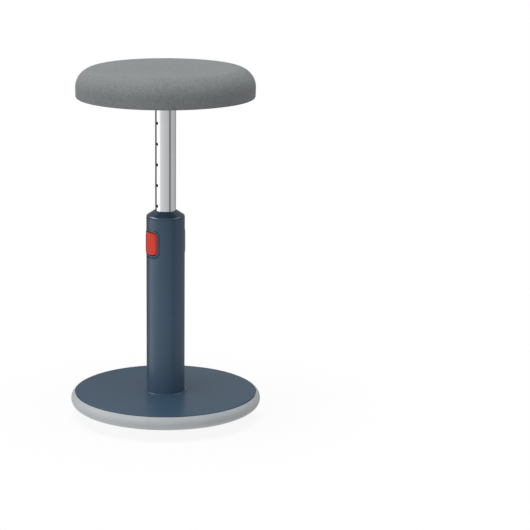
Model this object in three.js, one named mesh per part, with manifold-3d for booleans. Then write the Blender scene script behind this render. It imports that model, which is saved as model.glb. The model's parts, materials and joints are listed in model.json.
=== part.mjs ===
// Wobble stool: a weighted base that rocks on a domed sole, a column with a release
// button, a perforated post that slides in the column, and a round upholstered seat.
// Millimetres, +Z up. The origin is on the floor, under the middle of the seat.
// The button faces -Y.

import * as THREE from 'three';
import { mergeVertices } from 'three/addons/utils/BufferGeometryUtils.js';
import Module from 'manifold-3d';

const wasm = await Module();
wasm.setup();

// Fits
const fitGap = 0.3;
const cutOverrun = 3;

// Base
const baseRadius = 185;
const baseHeight = 50;
const bumperSectionRadius = 14;
const bumperCentreDrop = 13.6;
const bumperWidth = 17.7;
const bumperTopWidth = 7.8;
const soleRadius = 45;
const solePadThickness = 4;
const coverThickness = 3;
const coverEdgeRounding = 1.2;
const coverRibThickness = 2.4;
const coverRibDepth = 11;
const shellThickness = 4;
const shellFloorThickness = 8;

// Screws that hold the base together, and the bosses that they go through
const baseScrewCount = 6;
const baseScrewRadius = 2;
const baseScrewLength = 16;
const baseScrewHeadRadius = 4;
const baseScrewHeadHeight = 2.5;
const baseScrewRecess = 4.1;
const bossRadius = 7;
const bossWallAboveRecess = 6;

// Ring-shaped weight inside the base
const weightInnerRadius = 80;
const weightThickness = 8;
const weightBossGap = 3;

// Steel foot that carries the guide tube
const flangeRadius = 70;
const flangeThickness = 5;
const flangeBoltCount = 4;
const flangeBoltCircle = 34;
const flangeBoltRadius = 3;
const flangeBoltHeadRadius = 5;
const flangeBoltHeadHeight = 3.5;
const bufferThickness = 6;

// Column
const columnWall = 2.5;
const columnHeight = 347.9;
const footRingWidth = 4.1;
const footRingHeight = 2;
const footRingEdge = 0.7;

// Cap that closes the column and guides the post
const capShoulderRadius = 6.7;
const capConeAngle = THREE.MathUtils.degToRad(27);
const capOpeningGap = 0.8;
const capWall = 2.6;
const capLipDepth = 4.5;
const capSpigotDepth = 8;
const capHubGap = 2.2;
const seamChamfer = 0.5;

// Post and its holes
const postRadius = 20;
const postWall = 2;
const holeRadius = 3;
const holePitch = 40;
const holeCount = 6;
const lockBelowColumnTop = 18.5;
const topHoleBelowSeat = 49.9;

// Guides of the post
const guideGap = 0.6;
const guideWall = 1.8;
const guideAboveLock = 16.6;
const bushRunningGap = 0.15;
const bushShoulder = 2.1;
const endBushSkirt = 12;
const endBushPlug = 18;
const endBushWall = 3;
const endBushRunningGap = 0.2;
const keyWidth = 6;
const keySideGap = 0.4;

// Release button, the frame around it and the blank pad behind
const buttonWidth = 34.6;
const buttonHeight = 43.3;
const buttonCorner = 9;
const buttonStand = 2.4;
const buttonWall = 2;
const buttonEdgeStep = 1.4;
const buttonEdgeDrop = 0.8;
const buttonSkirtDepth = 5.6;
const buttonGap = 1;
const buttonTopBelowLock = 9.6;
const bezelBorder = 5.1;
const bezelBorderEnds = 6.6;
const bezelCorner = 13;
const bezelRaise = 0.9;
const bezelEdgeStep = 1.8;
const bezelEdgeDrop = 0.5;

// Release lever and its pivot
const pivotBelowButtonTop = 5.8;
const pivotPinRadius = 1.25;
const leverHubRadius = 3;
const leverHalfWidth = 7.2;
const leverThickness = 2.2;
const leverButtonGap = 0.3;
const leverTailGap = 1.5;
const forkNoseRadius = 1.3;
const forkWeb = 1.5;
const forkProngWidth = 3.2;
const forkRootBelowPin = 6;

// Lock pin
const pinRadius = 2.7;
const pinCollarRadius = 4.2;
const pinCollarThickness = 0.8;
const pinTailThickness = 1;
const pinNoseChamfer = 0.6;
const pinRoom = 4.1;

// Lock housing
const housingWall = 2.5;
const housingBelowButton = 11;
const housingAboveLock = 14;
const cheekThickness = 2.5;
const cheekRootHeight = 9;
const housingScrewRadius = 2;
const housingScrewHeadRadius = 3.2;
const housingScrewHeadHeight = 2.2;
const housingScrewFromTop = 4;
const housingScrewFromBottom = 4.5;

// Return spring of the lever
const springRadius = 3;
const springWireRadius = 0.35;
const springTurns = 4;
const springBelowPivot = 15;

// Seat
const seatRadius = 171.2;
const seatFootInset = 0.45;
const seatHeight = 55.3;
const seatCrown = 3.2;
const seatWidestHeight = 17.3;
const seatShoulderWidth = 32.4;
const seatFootRounding = 1.4;
const seatShoulderPower = 1.9;
const coverCloth = 2;
const coverWrap = 23;
const boardInset = 11.2;
const boardThickness = 12;
const undersideThickness = 1;

// Steel plate under the seat, and its screws and nuts
const plateRadius = 58;
const plateThickness = 4;
const seatScrewCount = 4;
const seatScrewCircle = 42;
const seatScrewRadius = 3;
const seatScrewLength = 14;
const seatScrewHeadRadius = 5;
const seatScrewHeadHeight = 2.7;
const nutBarrelWall = 1.3;
const nutFlangeRadius = 9;
const nutFlangeThickness = 1.4;
const nutBarrelLength = 8;

// Counts of flat sides round a circle, and of steps along an arc
const largeSides = 48;
const postSides = 36;
const mediumSides = 24;
const hubSides = 12;
const holeSides = 12;
const boreSides = 8;
const screwSides = 8;
const cornerSteps = 3;
const bumperSteps = 6;
const domeSteps = 3;
const edgeSteps = 2;
const shoulderSteps = 3;
const seatShoulderSteps = 5;
const crownSteps = 2;
const springStepsPerTurn = 8;
const springSides = 5;

// Colours, roughness and metalness
const finishes = {
  coatedBlue: { color: 0x3f5568, roughness: 0.42, metalness: 0 },
  softGrey: { color: 0xc3c8cb, roughness: 0.6, metalness: 0 },
  red: { color: 0xd8463a, roughness: 0.4, metalness: 0 },
  chrome: { color: 0xdfe1e3, roughness: 0.12, metalness: 1 },
  steel: { color: 0x9a9ea2, roughness: 0.35, metalness: 1 },
  blackSteel: { color: 0x2a2c2e, roughness: 0.5, metalness: 0.8 },
  castIron: { color: 0x4a4b4d, roughness: 0.7, metalness: 0.8 },
  blackPlastic: { color: 0x26282a, roughness: 0.55, metalness: 0 },
  rubber: { color: 0x34363a, roughness: 0.85, metalness: 0 },
  plywood: { color: 0xb98f5e, roughness: 0.7, metalness: 0 },
  foam: { color: 0xd9cf9a, roughness: 0.95, metalness: 0 },
  greyCloth: { color: 0x8c9494, roughness: 0.95, metalness: 0 },
  blackCloth: { color: 0x222426, roughness: 0.95, metalness: 0 },
};

const stool = new THREE.Group();

function addPiece(name, geometry, finish) {
  const piece = new THREE.Mesh(geometry, new THREE.MeshStandardMaterial(finishes[finish]));
  piece.name = name;
  stool.add(piece);
  return piece;
}

// Closed meshes to solids and back, for joining and cutting
function solidOf(geometry) {
  const bare = new THREE.BufferGeometry();
  bare.setAttribute('position', geometry.attributes.position);
  bare.setIndex(geometry.index);
  const merged = mergeVertices(bare);
  const triVerts = [];
  for (let i = 0; i < merged.index.count; i += 3) {
    const corners = [0, 1, 2].map((k) => merged.index.getX(i + k));
    if (new Set(corners).size === 3) {
      triVerts.push(...corners);
    }
  }
  return new wasm.Manifold(
    new wasm.Mesh({
      numProp: 3,
      vertProperties: merged.attributes.position.array,
      triVerts: new Uint32Array(triVerts),
    }),
  );
}

function geometryOf(solid) {
  const mesh = solid.getMesh();
  const geometry = new THREE.BufferGeometry();
  geometry.setAttribute('position', new THREE.BufferAttribute(mesh.vertProperties, mesh.numProp));
  geometry.setIndex(new THREE.BufferAttribute(mesh.triVerts, 1));
  geometry.computeVertexNormals();
  return geometry;
}

function joined(...geometries) {
  const solids = geometries.map(solidOf);
  return geometryOf(solids.reduce((whole, solid) => whole.add(solid)));
}

function cut(geometry, ...tools) {
  const solids = tools.map(solidOf);
  return geometryOf(solids.reduce((whole, solid) => whole.subtract(solid), solidOf(geometry)));
}

function shared(geometry, other) {
  return geometryOf(solidOf(geometry).intersect(solidOf(other)));
}

// A body turned about the Z axis from an outline of [radius, height] points
function turned(outline, sides) {
  const points = outline.map(([radius, height]) => new THREE.Vector2(radius, height));
  if (THREE.ShapeUtils.area(points) < 0) {
    points.reverse();
  }
  const onAxis = points[0].x === 0 && points.at(-1).x === 0;
  if (!onAxis) {
    points.push(points[0].clone());
  }
  return new THREE.LatheGeometry(points, sides).rotateX(Math.PI / 2);
}

// [radius, height] points along an arc, both ends included
function arc(centreRadius, centreHeight, radius, from, to, steps) {
  return Array.from({ length: steps + 1 }, (_, i) => {
    const angle = from + ((to - from) * i) / steps;
    return [centreRadius + radius * Math.cos(angle), centreHeight + radius * Math.sin(angle)];
  });
}

function ring(inner, outer, bottom, top, sides) {
  return turned([[inner, bottom], [outer, bottom], [outer, top], [inner, top]], sides);
}

function disc(radius, bottom, top, sides) {
  return turned([[0, bottom], [radius, bottom], [radius, top], [0, top]], sides);
}

// A round bar along X or Y
function barAlongX(radius, from, to, y, z, sides) {
  return new THREE.CylinderGeometry(radius, radius, to - from, sides)
    .rotateZ(Math.PI / 2)
    .translate((from + to) / 2, y, z);
}

function barAlongY(radius, from, to, x, z, sides) {
  return new THREE.CylinderGeometry(radius, radius, to - from, sides)
    .translate(x, (from + to) / 2, z);
}

// A plate whose outline lies in the YZ plane, thick along X
function plateAlongX(outline, from, to) {
  const shape = new THREE.Shape(outline.map(([y, z]) => new THREE.Vector2(y, z)));
  const turn = new THREE.Matrix4().makeBasis(
    new THREE.Vector3(0, 1, 0),
    new THREE.Vector3(0, 0, 1),
    new THREE.Vector3(1, 0, 0),
  );
  return new THREE.ExtrudeGeometry(shape, { depth: to - from, bevelEnabled: false })
    .applyMatrix4(turn)
    .translate(from, 0, 0);
}

// A block with a rounded-rectangle outline in the XZ plane, from near to far along -Y
function roundedBlock(width, height, corner, centreHeight, near, far) {
  const halfWidth = width / 2;
  const halfHeight = height / 2;
  const radius = Math.min(corner, halfWidth, halfHeight);
  const shape = new THREE.Shape();
  const quarter = Math.PI / 2;
  const corners = [[1, 1], [-1, 1], [-1, -1], [1, -1]];
  corners.forEach(([sideways, upward], i) => {
    const x = sideways * (halfWidth - radius);
    const z = upward * (halfHeight - radius);
    shape.absarc(x, z, radius, i * quarter, (i + 1) * quarter, false);
  });
  shape.closePath();
  const turn = new THREE.Matrix4().makeBasis(
    new THREE.Vector3(1, 0, 0),
    new THREE.Vector3(0, 0, 1),
    new THREE.Vector3(0, -1, 0),
  );
  const options = { depth: far - near, bevelEnabled: false, curveSegments: cornerSteps };
  return new THREE.ExtrudeGeometry(shape, options)
    .applyMatrix4(turn)
    .translate(0, -near, centreHeight);
}

// Copies of a body set evenly round the Z axis, moved out along a circle
function aroundAxis(count, radius, make) {
  return Array.from({ length: count }, (_, i) => {
    const angle = (2 * Math.PI * (i + 1 / 2)) / count;
    return make(i).translate(radius * Math.cos(angle), radius * Math.sin(angle), 0);
  });
}

function screwBody(headRadius, headHeight, radius, length, headBottom, sides) {
  const neck = headBottom + headHeight;
  return turned(
    [
      [0, headBottom],
      [headRadius, headBottom],
      [headRadius, neck],
      [radius, neck],
      [radius, neck + length],
      [0, neck + length],
    ],
    sides,
  );
}

// Radii of the base's pieces, from the rim inwards
const coverRadius = baseRadius - bumperTopWidth;
const bumperInner = baseRadius - bumperWidth;
const baseScrewCircle = bumperInner - fitGap - bossRadius;
const weightOuterRadius = baseScrewCircle - bossRadius - weightBossGap;

// Distances from the axis: the guide tube, the housing on it, the pin's collar, the fork's
// nose and the pin's tail, then the column round them with room for the pin to draw back
const guideInner = postRadius + guideGap;
const guideOuter = guideInner + guideWall;
const housingReach = guideOuter + fitGap + housingWall;
const collarReach = housingReach + fitGap + pinCollarThickness;
const noseReach = collarReach + fitGap + forkNoseRadius;
const pinReach = noseReach + forkNoseRadius + fitGap + pinTailThickness;
const sleeveInner = pinReach + pinRoom;
const columnRadius = sleeveInner + columnWall;

// Dome of the base. The sole is flat out to soleRadius, and the dome's arc ends tangent
// to the round section of the bumper ring.
const bumperCentreRadius = baseRadius - bumperSectionRadius;
const bumperCentreHeight = baseHeight - bumperCentreDrop;
const squares =
  (bumperCentreRadius ** 2 + bumperCentreHeight ** 2 - bumperSectionRadius ** 2 - soleRadius ** 2) / 2;
const linear = bumperSectionRadius * squares;
const leading = bumperCentreHeight ** 2 - bumperSectionRadius ** 2;
const constant = squares ** 2 + (bumperCentreHeight * soleRadius) ** 2;
const domeRadius = (linear + Math.sqrt(linear ** 2 + leading * constant)) / leading;
const domeCentreHeight = Math.sqrt(domeRadius ** 2 - soleRadius ** 2);
const domeEdgeAngle = Math.atan2(bumperCentreHeight - domeCentreHeight, bumperCentreRadius);

function domeHeight(radius, inset) {
  return domeCentreHeight - Math.sqrt((domeRadius - inset) ** 2 - radius ** 2);
}

// Rocker shell: the domed underside with its screw bosses
const padRecess = solePadThickness + fitGap;
const shellFloorTop = padRecess + shellFloorThickness;
const shellInnerRadius = domeRadius - shellThickness;
const shellFloorAngle = -Math.asin((domeCentreHeight - shellFloorTop) / shellInnerRadius);
const recessTop = domeHeight(baseScrewCircle, 0) + baseScrewRecess;
const bossTop = recessTop + bossWallAboveRecess;
const soleEdgeAngle = -Math.acos((soleRadius + fitGap) / domeRadius);
const shellOutline = [
  [0, shellFloorTop],
  [0, padRecess],
  [soleRadius + fitGap, padRecess],
  ...arc(0, domeCentreHeight, domeRadius, soleEdgeAngle, domeEdgeAngle, domeSteps),
  ...arc(0, domeCentreHeight, shellInnerRadius, domeEdgeAngle, shellFloorAngle, domeSteps),
];
const bossFoot = domeHeight(baseScrewCircle - bossRadius, shellThickness / 2);
const shellBosses = aroundAxis(baseScrewCount, baseScrewCircle, () =>
  disc(bossRadius, bossFoot, bossTop, boreSides));
const screwRecesses = aroundAxis(baseScrewCount, baseScrewCircle, () =>
  disc(baseScrewHeadRadius + fitGap, -cutOverrun, recessTop, boreSides));
const screwBores = aroundAxis(baseScrewCount, baseScrewCircle, () =>
  disc(baseScrewRadius + fitGap, recessTop - cutOverrun, bossTop + cutOverrun, boreSides));
const boltHeadTop = padRecess + flangeBoltHeadHeight + fitGap;
const boltRecesses = aroundAxis(flangeBoltCount, flangeBoltCircle, () =>
  disc(flangeBoltHeadRadius + fitGap, padRecess - cutOverrun, boltHeadTop, boreSides));
const boltBores = aroundAxis(flangeBoltCount, flangeBoltCircle, () =>
  disc(flangeBoltRadius + fitGap, boltHeadTop - cutOverrun, shellFloorTop + cutOverrun, boreSides));
addPiece(
  'rocker_shell',
  cut(
    joined(turned(shellOutline, largeSides), ...shellBosses),
    ...screwRecesses,
    ...screwBores,
    ...boltRecesses,
    ...boltBores,
  ),
  'softGrey',
);
addPiece('sole_pad', disc(soleRadius, 0, solePadThickness, largeSides), 'rubber');

// Bumper ring: a soft ring with a round outer section, hooked over the base's rim
const coverUnderside = baseHeight - coverThickness;
const bumperTopAngle = Math.acos((coverRadius + fitGap - bumperCentreRadius) / bumperSectionRadius);
const bumperGapAngle = fitGap / bumperSectionRadius;
const shellRimRadius = shellInnerRadius * Math.cos(domeEdgeAngle);
const bumperOutline = [
  ...arc(
    bumperCentreRadius,
    bumperCentreHeight,
    bumperSectionRadius,
    domeEdgeAngle + bumperGapAngle,
    bumperTopAngle,
    bumperSteps,
  ),
  [coverRadius + fitGap, coverUnderside - fitGap],
  [bumperInner, coverUnderside - fitGap],
  [bumperInner, domeHeight(bumperInner, shellThickness + fitGap)],
  [shellRimRadius + fitGap, domeHeight(shellRimRadius, shellThickness + fitGap)],
];
addPiece('bumper_ring', turned(bumperOutline, largeSides), 'softGrey');

// Base cover: the flat top of the base, with bosses and ribs beneath
const coverOutline = [
  [guideOuter + fitGap, coverUnderside],
  [coverRadius, coverUnderside],
  ...arc(
    coverRadius - coverEdgeRounding,
    baseHeight - coverEdgeRounding,
    coverEdgeRounding,
    0,
    Math.PI / 2,
    edgeSteps,
  ),
  [guideOuter + fitGap, baseHeight],
];
const coverMiddle = baseHeight - coverThickness / 2;
const coverBosses = aroundAxis(baseScrewCount, baseScrewCircle, () =>
  disc(bossRadius, bossTop + fitGap, coverMiddle, boreSides));
const ribInner = columnRadius;
const ribOuter = baseScrewCircle - bossRadius / 2;
const coverRibs = Array.from({ length: baseScrewCount }, (_, i) =>
  new THREE.BoxGeometry(ribOuter - ribInner, coverRibThickness, coverRibDepth + coverThickness / 2)
    .translate((ribOuter + ribInner) / 2, 0, coverMiddle - (coverRibDepth + coverThickness / 2) / 2)
    .rotateZ((2 * Math.PI * (i + 1 / 2)) / baseScrewCount));
const screwTip = recessTop - fitGap + baseScrewLength;
const coverPilots = aroundAxis(baseScrewCount, baseScrewCircle, () =>
  disc(baseScrewRadius + fitGap, bossTop - cutOverrun, screwTip + fitGap, boreSides));
addPiece(
  'base_cover',
  cut(joined(turned(coverOutline, largeSides), ...coverBosses, ...coverRibs), ...coverPilots),
  'coatedBlue',
);

const baseScrews = aroundAxis(baseScrewCount, baseScrewCircle, () =>
  screwBody(
    baseScrewHeadRadius,
    baseScrewHeadHeight,
    baseScrewRadius,
    baseScrewLength,
    recessTop - fitGap - baseScrewHeadHeight,
    screwSides,
  ));
baseScrews.forEach((screw, i) => addPiece(`base_screw_${i + 1}`, screw, 'steel'));

// Weight: it rests on the dome at its outer lower edge
const weightBottom = domeHeight(weightOuterRadius, shellThickness) + fitGap;
addPiece(
  'counterweight',
  ring(weightInnerRadius, weightOuterRadius, weightBottom, weightBottom + weightThickness, mediumSides),
  'castIron',
);

// Foot flange, its bolts and the rubber buffer that stops the post
const flangeBottom = shellFloorTop + fitGap;
const flangeTop = flangeBottom + flangeThickness;
const flangeHoles = aroundAxis(flangeBoltCount, flangeBoltCircle, () =>
  disc(flangeBoltRadius + fitGap, flangeBottom - cutOverrun, flangeTop + cutOverrun, boreSides));
addPiece(
  'foot_flange',
  cut(disc(flangeRadius, flangeBottom, flangeTop, mediumSides), ...flangeHoles),
  'blackSteel',
);
const boltHeadBottom = boltHeadTop - fitGap - flangeBoltHeadHeight;
const flangeBolts = aroundAxis(flangeBoltCount, flangeBoltCircle, () =>
  screwBody(
    flangeBoltHeadRadius,
    flangeBoltHeadHeight,
    flangeBoltRadius,
    flangeTop - boltHeadBottom - flangeBoltHeadHeight,
    boltHeadBottom,
    screwSides,
  ));
flangeBolts.forEach((bolt, i) => addPiece(`flange_bolt_${i + 1}`, bolt, 'steel'));
const bufferBottom = flangeTop + fitGap;
const bufferTop = bufferBottom + bufferThickness;
addPiece('bottom_buffer', disc(guideInner - fitGap, bufferBottom, bufferTop, mediumSides), 'rubber');

// Heights along the post, at its highest setting
const columnTop = baseHeight + columnHeight;
const lockHeight = columnTop - lockBelowColumnTop;
const travel = (holeCount - 1) * holePitch;
const seatBottom = lockHeight + travel + topHoleBelowSeat;
const postBottom = bufferTop + fitGap + travel;
const tubeBottom = postBottom + endBushSkirt + fitGap;

// Guide tube: a hole for the lock pin, two for the housing's screws, and a slot at the
// back in which the end bush's key runs
const guideBottom = flangeTop + fitGap;
const guideTop = lockHeight + guideAboveLock;
const housingTop = lockHeight + housingAboveLock;
const buttonTop = lockHeight - buttonTopBelowLock;
const buttonBottom = buttonTop - buttonHeight;
const housingBottom = buttonBottom - housingBelowButton;
const housingScrewHeights = {
  upper: housingTop - housingScrewFromTop,
  lower: housingBottom + housingScrewFromBottom,
};
const slotBottom = bufferTop;
const slotTop = tubeBottom + keySideGap;
const slotWidth = keyWidth + 2 * keySideGap;
const keySlot = new THREE.BoxGeometry(slotWidth, guideOuter, slotTop - slotBottom)
  .translate(0, postRadius + guideOuter / 2, (slotTop + slotBottom) / 2);
const pinBore = barAlongY(
  pinRadius + fitGap,
  -guideOuter - cutOverrun,
  -postRadius + cutOverrun,
  0,
  lockHeight,
  boreSides,
);
const guideScrewBores = Object.values(housingScrewHeights).map((height) =>
  barAlongY(
    housingScrewRadius + fitGap,
    -guideOuter - cutOverrun,
    -postRadius + cutOverrun,
    0,
    height,
    boreSides,
  ));
addPiece(
  'guide_tube',
  cut(
    ring(guideInner, guideOuter, guideBottom, guideTop, mediumSides),
    keySlot,
    pinBore,
    ...guideScrewBores,
  ),
  'steel',
);

// Column sleeve with a window for the button's frame and one for the blank pad
const buttonCentre = (buttonTop + buttonBottom) / 2;
const bezelWidth = buttonWidth + 2 * bezelBorder;
const bezelHeight = buttonHeight + 2 * bezelBorderEnds;
const bezelReach = columnRadius + bezelRaise;
const reach = columnRadius + buttonStand + cutOverrun;

function panelBlock(inset, near, far) {
  return roundedBlock(
    bezelWidth - 2 * inset,
    bezelHeight - 2 * inset,
    bezelCorner - inset,
    buttonCentre,
    near,
    far,
  );
}

const sleeveOutline = [
  [sleeveInner, baseHeight + fitGap],
  [columnRadius, baseHeight + fitGap],
  [columnRadius, columnTop - seamChamfer],
  [columnRadius - seamChamfer, columnTop],
  [sleeveInner, columnTop],
];
const frontWindow = panelBlock(-fitGap, 0, reach);
const rearWindow = panelBlock(-fitGap, 0, reach).rotateZ(Math.PI);
addPiece(
  'column_sleeve',
  cut(turned(sleeveOutline, largeSides), frontWindow, rearWindow),
  'coatedBlue',
);

const footRingInner = columnRadius + fitGap;
const footRingOuter = columnRadius + footRingWidth;
const footRingBottom = baseHeight + fitGap;
const footRingTop = baseHeight + footRingHeight;
addPiece(
  'column_foot_ring',
  turned(
    [
      [footRingInner, footRingBottom],
      [footRingOuter, footRingBottom],
      [footRingOuter, footRingTop - footRingEdge],
      [footRingOuter - footRingEdge, footRingTop],
      [footRingInner, footRingTop],
    ],
    largeSides,
  ),
  'coatedBlue',
);

// Collar cap: a rounded shoulder, then a cone up to the opening round the post
const capBottom = columnTop + fitGap;
const capOpening = postRadius + capOpeningGap;
const shoulderCentreRadius = columnRadius - capShoulderRadius;
const shoulderCentreHeight = capBottom + seamChamfer;
const coneAngleFromAxis = Math.PI / 2 - capConeAngle;
const coneFootRadius = shoulderCentreRadius + capShoulderRadius * Math.cos(coneAngleFromAxis);
const coneFootHeight = shoulderCentreHeight + capShoulderRadius * Math.sin(coneAngleFromAxis);

function coneHeight(radius) {
  return coneFootHeight + (coneFootRadius - radius) * Math.tan(capConeAngle);
}

const capTop = coneHeight(capOpening);
const bushOuter = guideOuter + bushShoulder;
const hubInner = bushOuter + fitGap;
const hubOuter = hubInner + capWall;
const spigotOuter = sleeveInner - fitGap;
const spigotInner = spigotOuter - capWall;
const roofDrop = capWall / Math.cos(capConeAngle);
const hubBottom = housingTop + capHubGap;
const capOutline = [
  [spigotInner, capBottom - capSpigotDepth],
  [spigotOuter, capBottom - capSpigotDepth],
  [spigotOuter, capBottom],
  [columnRadius - seamChamfer, capBottom],
  ...arc(
    shoulderCentreRadius,
    shoulderCentreHeight,
    capShoulderRadius,
    0,
    coneAngleFromAxis,
    shoulderSteps,
  ),
  [capOpening, capTop],
  [capOpening, capTop - capLipDepth],
  [hubInner, capTop - capLipDepth],
  [hubInner, hubBottom],
  [hubOuter, hubBottom],
  [hubOuter, coneHeight(hubOuter) - roofDrop],
  [spigotInner, coneHeight(spigotInner) - roofDrop],
];
addPiece('collar_cap', turned(capOutline, largeSides), 'coatedBlue');
const guideBushTop = capTop - capLipDepth - fitGap;
addPiece(
  'upper_guide_bush',
  ring(postRadius + bushRunningGap, bushOuter, guideTop + fitGap, guideBushTop, postSides),
  'blackPlastic',
);

// Frame round the button, and the blank pad on the other side: rings cut to an outline,
// with a lower step along the edge
function curvedPanel(outerRadius, edgeDrop, block, insetBlock) {
  const bottom = buttonCentre - bezelHeight;
  const top = buttonCentre + bezelHeight;
  const low = shared(ring(sleeveInner, outerRadius - edgeDrop, bottom, top, largeSides), block);
  const high = shared(ring(sleeveInner, outerRadius, bottom, top, largeSides), insetBlock);
  return joined(low, high);
}

const buttonOpening = roundedBlock(
  buttonWidth + 2 * buttonGap,
  buttonHeight + 2 * buttonGap,
  buttonCorner + buttonGap,
  buttonCentre,
  0,
  reach,
);
const blankPanel = curvedPanel(
  bezelReach,
  bezelEdgeDrop,
  panelBlock(0, 0, reach),
  panelBlock(bezelEdgeStep, 0, reach),
);
addPiece('button_bezel', cut(blankPanel, buttonOpening), 'coatedBlue');
addPiece('rear_pad', blankPanel.clone().rotateZ(Math.PI), 'coatedBlue');

// Release button: a hollow cap that stands proud of the column
const buttonReach = columnRadius + buttonStand;
const buttonInside = buttonReach - buttonWall - buttonEdgeDrop;
const skirtEnd = buttonReach - buttonSkirtDepth;

function buttonBlock(inset, near, far) {
  return roundedBlock(
    buttonWidth - 2 * inset,
    buttonHeight - 2 * inset,
    buttonCorner - inset,
    buttonCentre,
    near,
    far,
  );
}

function bodyRound(radius) {
  return disc(radius, buttonCentre - bezelHeight, buttonCentre + bezelHeight, largeSides);
}

const buttonLow = shared(bodyRound(buttonReach - buttonEdgeDrop), buttonBlock(0, skirtEnd, reach));
const buttonHigh = shared(bodyRound(buttonReach), buttonBlock(buttonEdgeStep, skirtEnd, reach));
const buttonHollow = shared(bodyRound(buttonInside), buttonBlock(buttonWall, 0, reach));
addPiece('release_button', cut(joined(buttonLow, buttonHigh), buttonHollow), 'red');

// Release lever: a hub on the pivot, a tail behind the button and a fork round the pin
const pivotHeight = buttonTop - pivotBelowButtonTop;
const cheekInner = leverHalfWidth + fitGap;
const cheekOuter = cheekInner + cheekThickness;
const pivotY = leverHubRadius + fitGap - Math.sqrt(buttonInside ** 2 - cheekOuter ** 2);
const buttonInsideAtEdge = Math.sqrt(buttonInside ** 2 - leverHalfWidth ** 2);
const tailOuter = -(buttonInsideAtEdge - leverButtonGap);
const tailInner = tailOuter + leverThickness;
const tailEnd = buttonBottom + buttonWall + leverTailGap;
const noseY = -noseReach;
const forkRoot = lockHeight - forkRootBelowPin;
const prongInner = pinRadius + fitGap;
const prongOuter = prongInner + forkProngWidth;
const leverHub = barAlongX(
  leverHubRadius,
  -leverHalfWidth,
  leverHalfWidth,
  pivotY,
  pivotHeight,
  hubSides,
);
const leverTailPlate = plateAlongX(
  [
    [tailOuter, tailEnd],
    [tailInner, tailEnd],
    [tailInner, pivotHeight - leverHubRadius],
    [pivotY + leverHubRadius / 2, pivotHeight],
    [pivotY, pivotHeight],
    [tailOuter, pivotHeight - leverHubRadius / 2],
  ],
  -leverHalfWidth,
  leverHalfWidth,
);
const leverBridge = plateAlongX(
  [
    [pivotY - leverHubRadius / 2, pivotHeight],
    [pivotY + leverHubRadius / 2, pivotHeight],
    [noseY + forkWeb / 2, forkRoot - forkWeb],
    [noseY + forkWeb / 2, forkRoot],
    [noseY - forkWeb / 2, forkRoot],
  ],
  -prongOuter,
  prongOuter,
);
const prongs = [-1, 1].flatMap((side) => {
  const from = Math.min(side * prongInner, side * prongOuter);
  const to = Math.max(side * prongInner, side * prongOuter);
  const web = plateAlongX(
    [
      [noseY - forkWeb / 2, forkRoot - forkWeb / 2],
      [noseY + forkWeb / 2, forkRoot - forkWeb / 2],
      [noseY + forkWeb / 2, lockHeight],
      [noseY - forkWeb / 2, lockHeight],
    ],
    from,
    to,
  );
  return [web, barAlongX(forkNoseRadius, from, to, noseY, lockHeight, boreSides)];
});
const pivotBore = barAlongX(
  pivotPinRadius + fitGap,
  -leverHalfWidth - cutOverrun,
  leverHalfWidth + cutOverrun,
  pivotY,
  pivotHeight,
  boreSides,
);
addPiece(
  'release_lever',
  cut(joined(leverHub, leverTailPlate, leverBridge, ...prongs), pivotBore),
  'steel',
);

// Lock pin: its two collars hold the fork's noses between them. Its nose stops just short
// of the post, so that the post is free to slide.
const pinTip = -(postRadius + fitGap);
const collarInner = -(housingReach + fitGap);
const collarOuter = -collarReach;
const tailPieceInner = -(noseReach + forkNoseRadius + fitGap);
const tailPieceOuter = -pinReach;
const pinOutline = [
  [0, tailPieceOuter],
  [pinCollarRadius, tailPieceOuter],
  [pinCollarRadius, tailPieceInner],
  [pinRadius, tailPieceInner],
  [pinRadius, collarOuter],
  [pinCollarRadius, collarOuter],
  [pinCollarRadius, collarInner],
  [pinRadius, collarInner],
  [pinRadius, pinTip - pinNoseChamfer],
  [pinRadius - pinNoseChamfer, pinTip],
  [0, pinTip],
];
addPiece(
  'lock_pin',
  turned(pinOutline, hubSides).rotateX(-Math.PI / 2).translate(0, 0, lockHeight),
  'steel',
);

// Lock housing: a saddle on the guide tube with two cheeks for the pivot pin
const housingFace = -housingReach;
const saddleBlock = new THREE.BoxGeometry(2 * cheekOuter, -housingFace, housingTop - housingBottom)
  .translate(0, housingFace / 2, (housingTop + housingBottom) / 2);
const cheeks = [-1, 1].flatMap((side) => {
  const from = Math.min(side * cheekInner, side * cheekOuter);
  const to = Math.max(side * cheekInner, side * cheekOuter);
  const web = plateAlongX(
    [
      [housingFace + housingWall / 2, pivotHeight - cheekRootHeight],
      [housingFace + housingWall / 2, pivotHeight + cheekRootHeight],
      [pivotY, pivotHeight + leverHubRadius],
      [pivotY, pivotHeight - leverHubRadius],
    ],
    from,
    to,
  );
  return [web, barAlongX(leverHubRadius, from, to, pivotY, pivotHeight, hubSides)];
});
const guideHollow = disc(
  guideOuter + fitGap,
  housingBottom - cutOverrun,
  housingTop + cutOverrun,
  mediumSides,
);
const cheekBore = barAlongX(
  pivotPinRadius + fitGap,
  -cheekOuter - cutOverrun,
  cheekOuter + cutOverrun,
  pivotY,
  pivotHeight,
  boreSides,
);
const housingBores = [
  barAlongY(pinRadius + fitGap, housingFace - cutOverrun, 0, 0, lockHeight, boreSides),
  ...Object.values(housingScrewHeights).map((height) =>
    barAlongY(housingScrewRadius + fitGap, housingFace - cutOverrun, 0, 0, height, boreSides)),
];
addPiece(
  'lock_housing',
  cut(joined(saddleBlock, ...cheeks), guideHollow, cheekBore, ...housingBores),
  'blackPlastic',
);
addPiece(
  'lever_pivot_pin',
  barAlongX(pivotPinRadius, -cheekOuter, cheekOuter, pivotY, pivotHeight, boreSides),
  'steel',
);
const screwHeadFace = housingFace - fitGap;
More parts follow.
